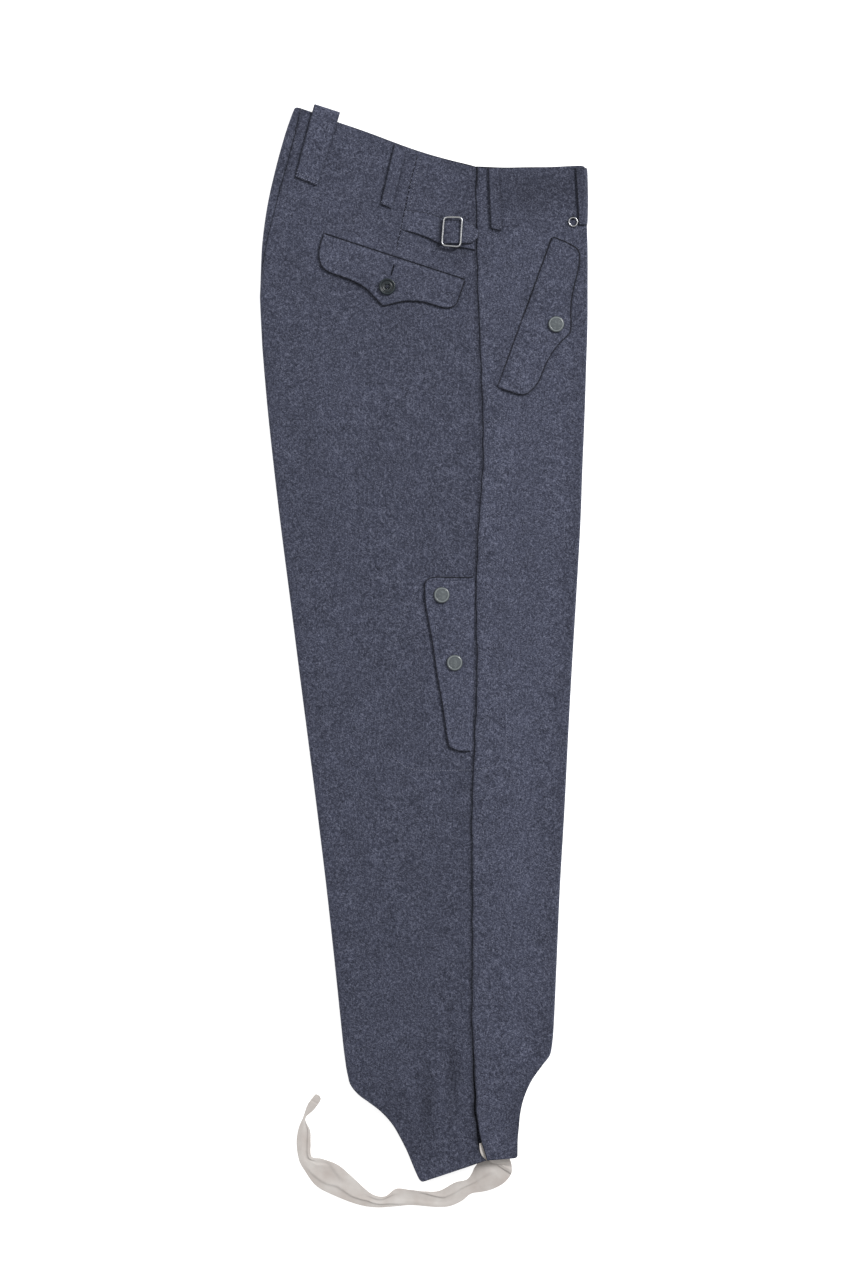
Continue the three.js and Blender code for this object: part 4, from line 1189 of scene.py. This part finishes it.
onFlap = flapLook["gap"] + flapLook["cloth"] + 0.35
buttonProfile = [[0, 0], [5, 0], [7.6, 0.15], [8.6, 0.9], [8.75, 1.8], [8.5, 2.6], [7.8, 2.95], [6.9, 2.75],
                 [6.2, 2.1], [5.4, 1.75], [4.6, 2.05], [3.6, 1.75], [2.4, 1.65], [1, 1.65], [0, 1.65]]
# Shades by profile row: above 0 a painted shade, for the outline on the cloth and the hollows; below 0 lighter,
# as wear and a painted highlight on the crests
buttonShades = [1, 1, 1, 1, 0.8, -0.2, -0.9, -0.9, 0.9, 0.7, -0.6, 0.6, 0.3, 0.1, 0.1]
snapProfile = [[0, 0], [5, 0], [7.6, 0.1], [8.35, 0.5], [8.5, 1.1], [8.3, 1.75], [7.75, 2.2], [7.05, 2.45],
               [6.5, 2.42], [6.1, 2.2], [5.6, 2.26], [4, 2.4], [2, 2.47], [0, 2.5]]
snapShades = [1, 1, 1, 1, 1, 0.85, 0.15, -0.7, -0.4, 0.35, 0.1, 0, 0, 0]
button = {"centre": (-94.2, 126), "holeGap": 1.4, "holeSize": 0.95, "holeDepth": 1.3}
snaps = {    # node, centre, lift of the base, and whether it is on the front panel
    "front": ("front_pocket_snap", (83, 165.5), onFlap + 0.1, True),
    "kneeUpper": ("knee_pocket_snap_upper", (-37, 449.5), onFlap, False),
    "kneeLower": ("knee_pocket_snap_lower", (-23.5, 520.5), onFlap, False),
}


def makeTrims():
    gap, size, depth = button["holeGap"], button["holeSize"], button["holeDepth"]
    dimples = [(dx * gap, dd * gap, size, depth) for dx in (-1, 1) for dd in (-1, 1)]
    part = turnedPart(buttonProfile, buttonShades, button["centre"], onFlap + 0.3, False, dimples)
    newPiece("dark_pocket_button", [part], buttonHorn, "back_pocket_button")
    for name, (node, *place) in snaps.items():
        part = turnedPart(snapProfile, snapShades, *place)
        newPiece("enamel_snap_" + name, [part], snapEnamel, node)


makeTrims()
print("button and snaps ready")

# The cinch buckle, a bent wire frame with round corners, and the small sewn ring
buckle = {
    "corners": [(-34.6, 52.9), (-15.5, 53.3), (-17.6, 84.2), (-37.0, 82.3)],
    "wire": 1.05, "round": 4.3, "middle": (-26, 68), "lifts": ([-37, -15], [4.9, 7.0]),
}
ring = {"x": 101, "down": 57.8, "radius": 4.5, "wire": 0.75}
tack = {"thread": 0.34, "shifts": (-0.7, 0.1, 0.8), "slant": 0.3, "reach": 1.55, "rise": 1.25}


def makeBuckle():
    corners = np.array(buckle["corners"])
    share = np.linspace(0, 1, 9)[:, None]
    path = []
    for before, here, after in zip(np.roll(corners, 1, axis=0), corners, np.roll(corners, -1, axis=0)):
        back, on = (unit(other - here) * buckle["round"] for other in (before, after))
        path.append(here + back * (1 - share) ** 2 + on * share ** 2)
        path.append(here + on + (after - here - 2 * on) * np.linspace(0.1, 0.9, 9)[:, None])
    x, down = np.concatenate(path).T
    z = evenHeight(*buckle["middle"]) + np.interp(x, *buckle["lifts"])
    part = wire(toFrame(x, down, z), buckle["wire"] / 1000, 14, closed=True)
    newPiece("bright_cinch_buckle", [part], brightSteel, "cinch_buckle")


def makeRing():
    x, top, angle = ring["x"], ring["down"] - ring["radius"], circle(48)
    z = evenHeight(x, ring["down"], True) + ring["wire"] + 0.45
    path = toFrame(x + ring["radius"] * np.sin(angle), ring["down"] - ring["radius"] * np.cos(angle), z)
    part = wire(path, ring["wire"] / 1000, 14, closed=True)
    newPiece("bright_watch_ring", [part], brightSteel, "watch_ring", body="ring")
    bend = np.linspace(0, math.pi, 13)
    slant, down = tack["slant"] * np.cos(bend), top - tack["reach"] * np.cos(bend)
    rise = z + tack["rise"] * np.sin(bend) - 0.9
    paths = [toFrame(x + shift + slant, down, rise) for shift in tack["shifts"]]
    threads = [wire(path, tack["thread"] / 1000, 8) for path in paths]
    newPiece("ring_thread_tack", threads, darkThreadAndShade)


makeBuckle()
makeRing()
print("buckle and ring ready")


# Stitches: short threads with rounded ends, bowed between two needle holes, set at an even pitch on a line.
# Each is a ring of places about its length: radius = full * sqrt(1 - (2a)^4), height = bow * (1 - (2a)^2)
def stitches(line, pitch, length, thread, lift, onFront=False, bow=0.35, between=False):
    line = np.asarray(line, float)
    reach = reachAlong(line)
    count = max(int(reach[-1] / pitch), 1)
    centres = (np.arange(count) + 0.5) * reach[-1] / count
    centres = (centres[1:] + centres[:-1]) / 2 if between else centres

    def onLine(at):
        return np.stack([np.interp(at, reach, line[:, 0]), np.interp(at, reach, line[:, 1])])

    a, angle = np.linspace(-0.5, 0.5, 7)[:, None], circle(6)
    cx, cd = onLine(centres[:, None, None] + a * length)
    tx, td = unit((onLine(centres + 0.3) - onLine(centres - 0.3)).T).T[..., None, None]
    full = thread / 2 * np.sqrt(np.clip(1 - (2 * a) ** 4, 0, 1))
    flank = full * np.cos(angle)
    z = topHeight(cx, cd, onFront) + lift + bow * (1 - (2 * a) ** 2) - 0.12 + full * np.sin(angle)
    points = toFrame(cx - td * flank, cd + tx * flank, z)
    rings, sides = points.shape[1:3]
    firsts = np.arange(len(centres)) * rings * sides
    faces = gridFaces(rings, sides, closeAcross=True) + firsts[:, None, None]
    points = points.reshape(-1, 3)
    return points, outward(points, faces.reshape(-1, 4))


def besideLine(line, offset):
    along = unit(np.gradient(line, axis=0))
    return line + offset * np.stack([-along[:, 1], along[:, 0]], axis=-1)


def pixelLine(points):    # places read on the photo, 1.05 mm to a pixel from the seam at the waist
    return (np.array(points, float) - [477, 167]) * 1.05


stitchKinds = {
    "dart": {"pitch": 3.2, "length": 2.1, "thread": 0.5, "lift": -0.04},
    "close": {"pitch": 2.5, "length": 2.2, "thread": 0.5, "lift": 0, "bow": 0.3},
    "faint": {"pitch": 2.5, "length": 2.0, "thread": 0.3, "lift": -0.1, "bow": 0.2},
    "cinch": {"pitch": 2.5, "length": 2.0, "thread": 0.3, "lift": -0.1, "bow": 0.25},
    "wideLoop": {"pitch": 2.8, "length": 2.0, "thread": 0.55, "bow": 0.45},
    "loopFoot": {"pitch": 2.6, "length": 2.0, "thread": 0.42, "lift": 2.65},
    "flap": {"pitch": 2.9, "length": 2.1, "thread": 0.32, "bow": 0.18},
    "strapPoint": {"pitch": 2.5, "length": 1.9, "thread": 0.46, "lift": 4.66, "bow": 0.3},
    "chevron": {"pitch": 2.4, "length": 1.8, "thread": 0.44, "lift": 4.66, "bow": 0.3},
}
dart = pixelLine([(417.5, 155), (412.8, 171.6), (405.5, 206), (400.8, 229), (395.8, 252)])
besideDart = besideLine(dart, -4.2)
# Rows of stitches on the panels: their kind, whether they lie on the front panel, and their line
seamRows = {
    "kneeFoot": ("close", False, [(393, 757), (405, 767), (417, 769.8), (429, 771), (450, 770.5),
                                  (470.5, 769.7)]),
    "kneeFrontFoot": ("close", True, [(476, 769), (490, 767.5)]),
    "kneeSide": ("faint", False, [(425.9, 571), (412, 599), (403, 620), (398, 632), (391, 665), (385, 700),
                                  (379, 731), (384, 747), (393, 757)]),
    "kneeFront": ("faint", True, [(490, 767.5), (503, 765.3), (506.5, 760), (506.5, 725), (506.3, 690)]),
    "kneeTop": ("faint", False, [(438, 552), (455, 552.3), (471, 552)]),
    "waistFront": ("faint", True, [(503, 218.5), (530, 218.3), (562, 218)]),
    "cinchBelow": ("cinch", False, [(402, 243.7), (420, 247.5), (446, 252.5), (460, 256), (468, 266)]),
    "hemBack": ("faint", False, [(431, 1143.5), (442, 1141.5), (456, 1140), (470, 1139)]),
    "hemFront": ("faint", True, [(491.6, 1130.4), (500, 1129.4), (509, 1128.6)]),
}
# The pointed end of the long strap
strapRows = {
    "strapPoint": [(-11, 58.6), (-5.5, 61.2), (-2.3, 66), (-0.6, 70.4), (-2.6, 75.2), (-6, 78), (-12, 78.3)],
    "chevron": [(-9.5, 61), (-6.4, 69.6), (-9.8, 76.5)],
}


def makeStitching():
    rows, pits = [], []

    # One row of threads, and between them dark threads: a painted shade in the pits that its needle pulled
    def row(line, kind, onFront=False, **more):
        look = {"bow": 0.35, **stitchKinds[kind], **more}
        rows.append(stitches(line, onFront=onFront, **look))
        look.update(length=max(look["pitch"] - look["length"], 0.7), thread=1.5 * look["thread"],
                    lift=look["lift"] - 0.02, bow=0.02)
        pits.append(stitches(line, onFront=onFront, between=True, **look))

    # The dart's seam is a thin dark line of painted shade: long dark threads laid end to end
    for line, width in [(dart, 1.1), (besideDart, 0.45)]:
        row(line, "dart")
        pits.append(stitches(line, 6.0, 6.6, width, -0.02, bow=0.05))
    for kind, onFront, points in seamRows.values():
        row(pixelLine(points), kind, onFront)
    # The wide loop's double row, by its distance from the foot, and the other loops' feet
    for back, lift in [(1.6, 2.5), (5.0, 2.68)]:
        row(wideLoopEdges(wideLoop["length"] - back)[0], "wideLoop", lift=lift)
    for loop in beltLoops.values():
        row(np.reshape(loop["foot"], (2, 2)) - [0, 3.0], "loopFoot", loop["onFront"])
    # Flaps, in their groove
    for flap in flaps.values():
        edge = throughRows(flap["edge"], np.linspace(0, len(flap["edge"]) - 1, 120))
        middle = np.array([flapAxes(flap)[3] / 2, 8.0])
        turn = unit(np.gradient(edge, axis=0))
        inward = np.stack([turn[:, 1], -turn[:, 0]], axis=-1)
        inward *= np.sign(np.einsum("ij,ij->i", inward, middle - edge))[:, None]
        inside = edge + inward * flapLook["grooveAt"]
        inside = inside[(inside[:, 1] > 3) & (edge[:, 1] > 6)]
        lift = flapLook["gap"] + flapLook["cloth"] - flapLook["groove"] - 0.12
        row(np.stack(flapPlaces(flap, *inside.T), axis=-1), "flap", flap["onFront"], lift=lift)
    for kind, points in strapRows.items():
        row(points, kind)
    newPiece("top_stitching", rows, greyThread)
    newPiece("painted_stitch_shade", pits, darkThreadAndShade)


makeStitching()

# The buttonhole: a worked slit that runs up from the button, and the threads that hold the button on
buttonhole = {
    "top": (-86.6, 101.6), "bottom": (-90.4, 114.6), "across": (0.96, 0.28),
    "bars": 22, "barFrom": 1.15, "barHalf": 0.45, "threadShift": 0.22,
}


def makeButtonhole():
    top, bottom, across = (np.array(buttonhole[part]) for part in ("top", "bottom", "across"))
    lift = flapLook["gap"] + flapLook["cloth"]
    # The slit is a dark thread: a painted shade in the cut
    slit = stitches([top, bottom], 20, 14.6, 1.35, lift + 0.16, bow=0.1)
    newPiece("buttonhole_slit_shade", [slit], darkThreadAndShade)
    bars, half = [], across * buttonhole["barHalf"]
    for share in np.linspace(0.03, 0.97, buttonhole["bars"]):
        for sign in (-1, 1):
            side = top + (bottom - top) * share + across * sign * buttonhole["barFrom"]
            bars.append(stitches([side - half, side + half], 5, 0.9, 0.34, lift, bow=0.15))
    newPiece("buttonhole_threads", bars, woolTrim)
    x, down = button["centre"]
    bend = np.linspace(0, math.pi, 11)
    reach = button["holeGap"] * np.cos(bend)
    z = evenHeight(x, down) + onFlap + 1.2 + 1.1 * np.sin(bend)
    cross = []
    for slant in (1, -1):
        for shift in (-buttonhole["threadShift"], buttonhole["threadShift"]):
            cross.append(wire(toFrame(x - reach + shift, down + slant * (shift - reach), z), 0.00026, 8))
    newPiece("button_threads", cross, woolTrim)


makeButtonhole()
print("stitching ready")
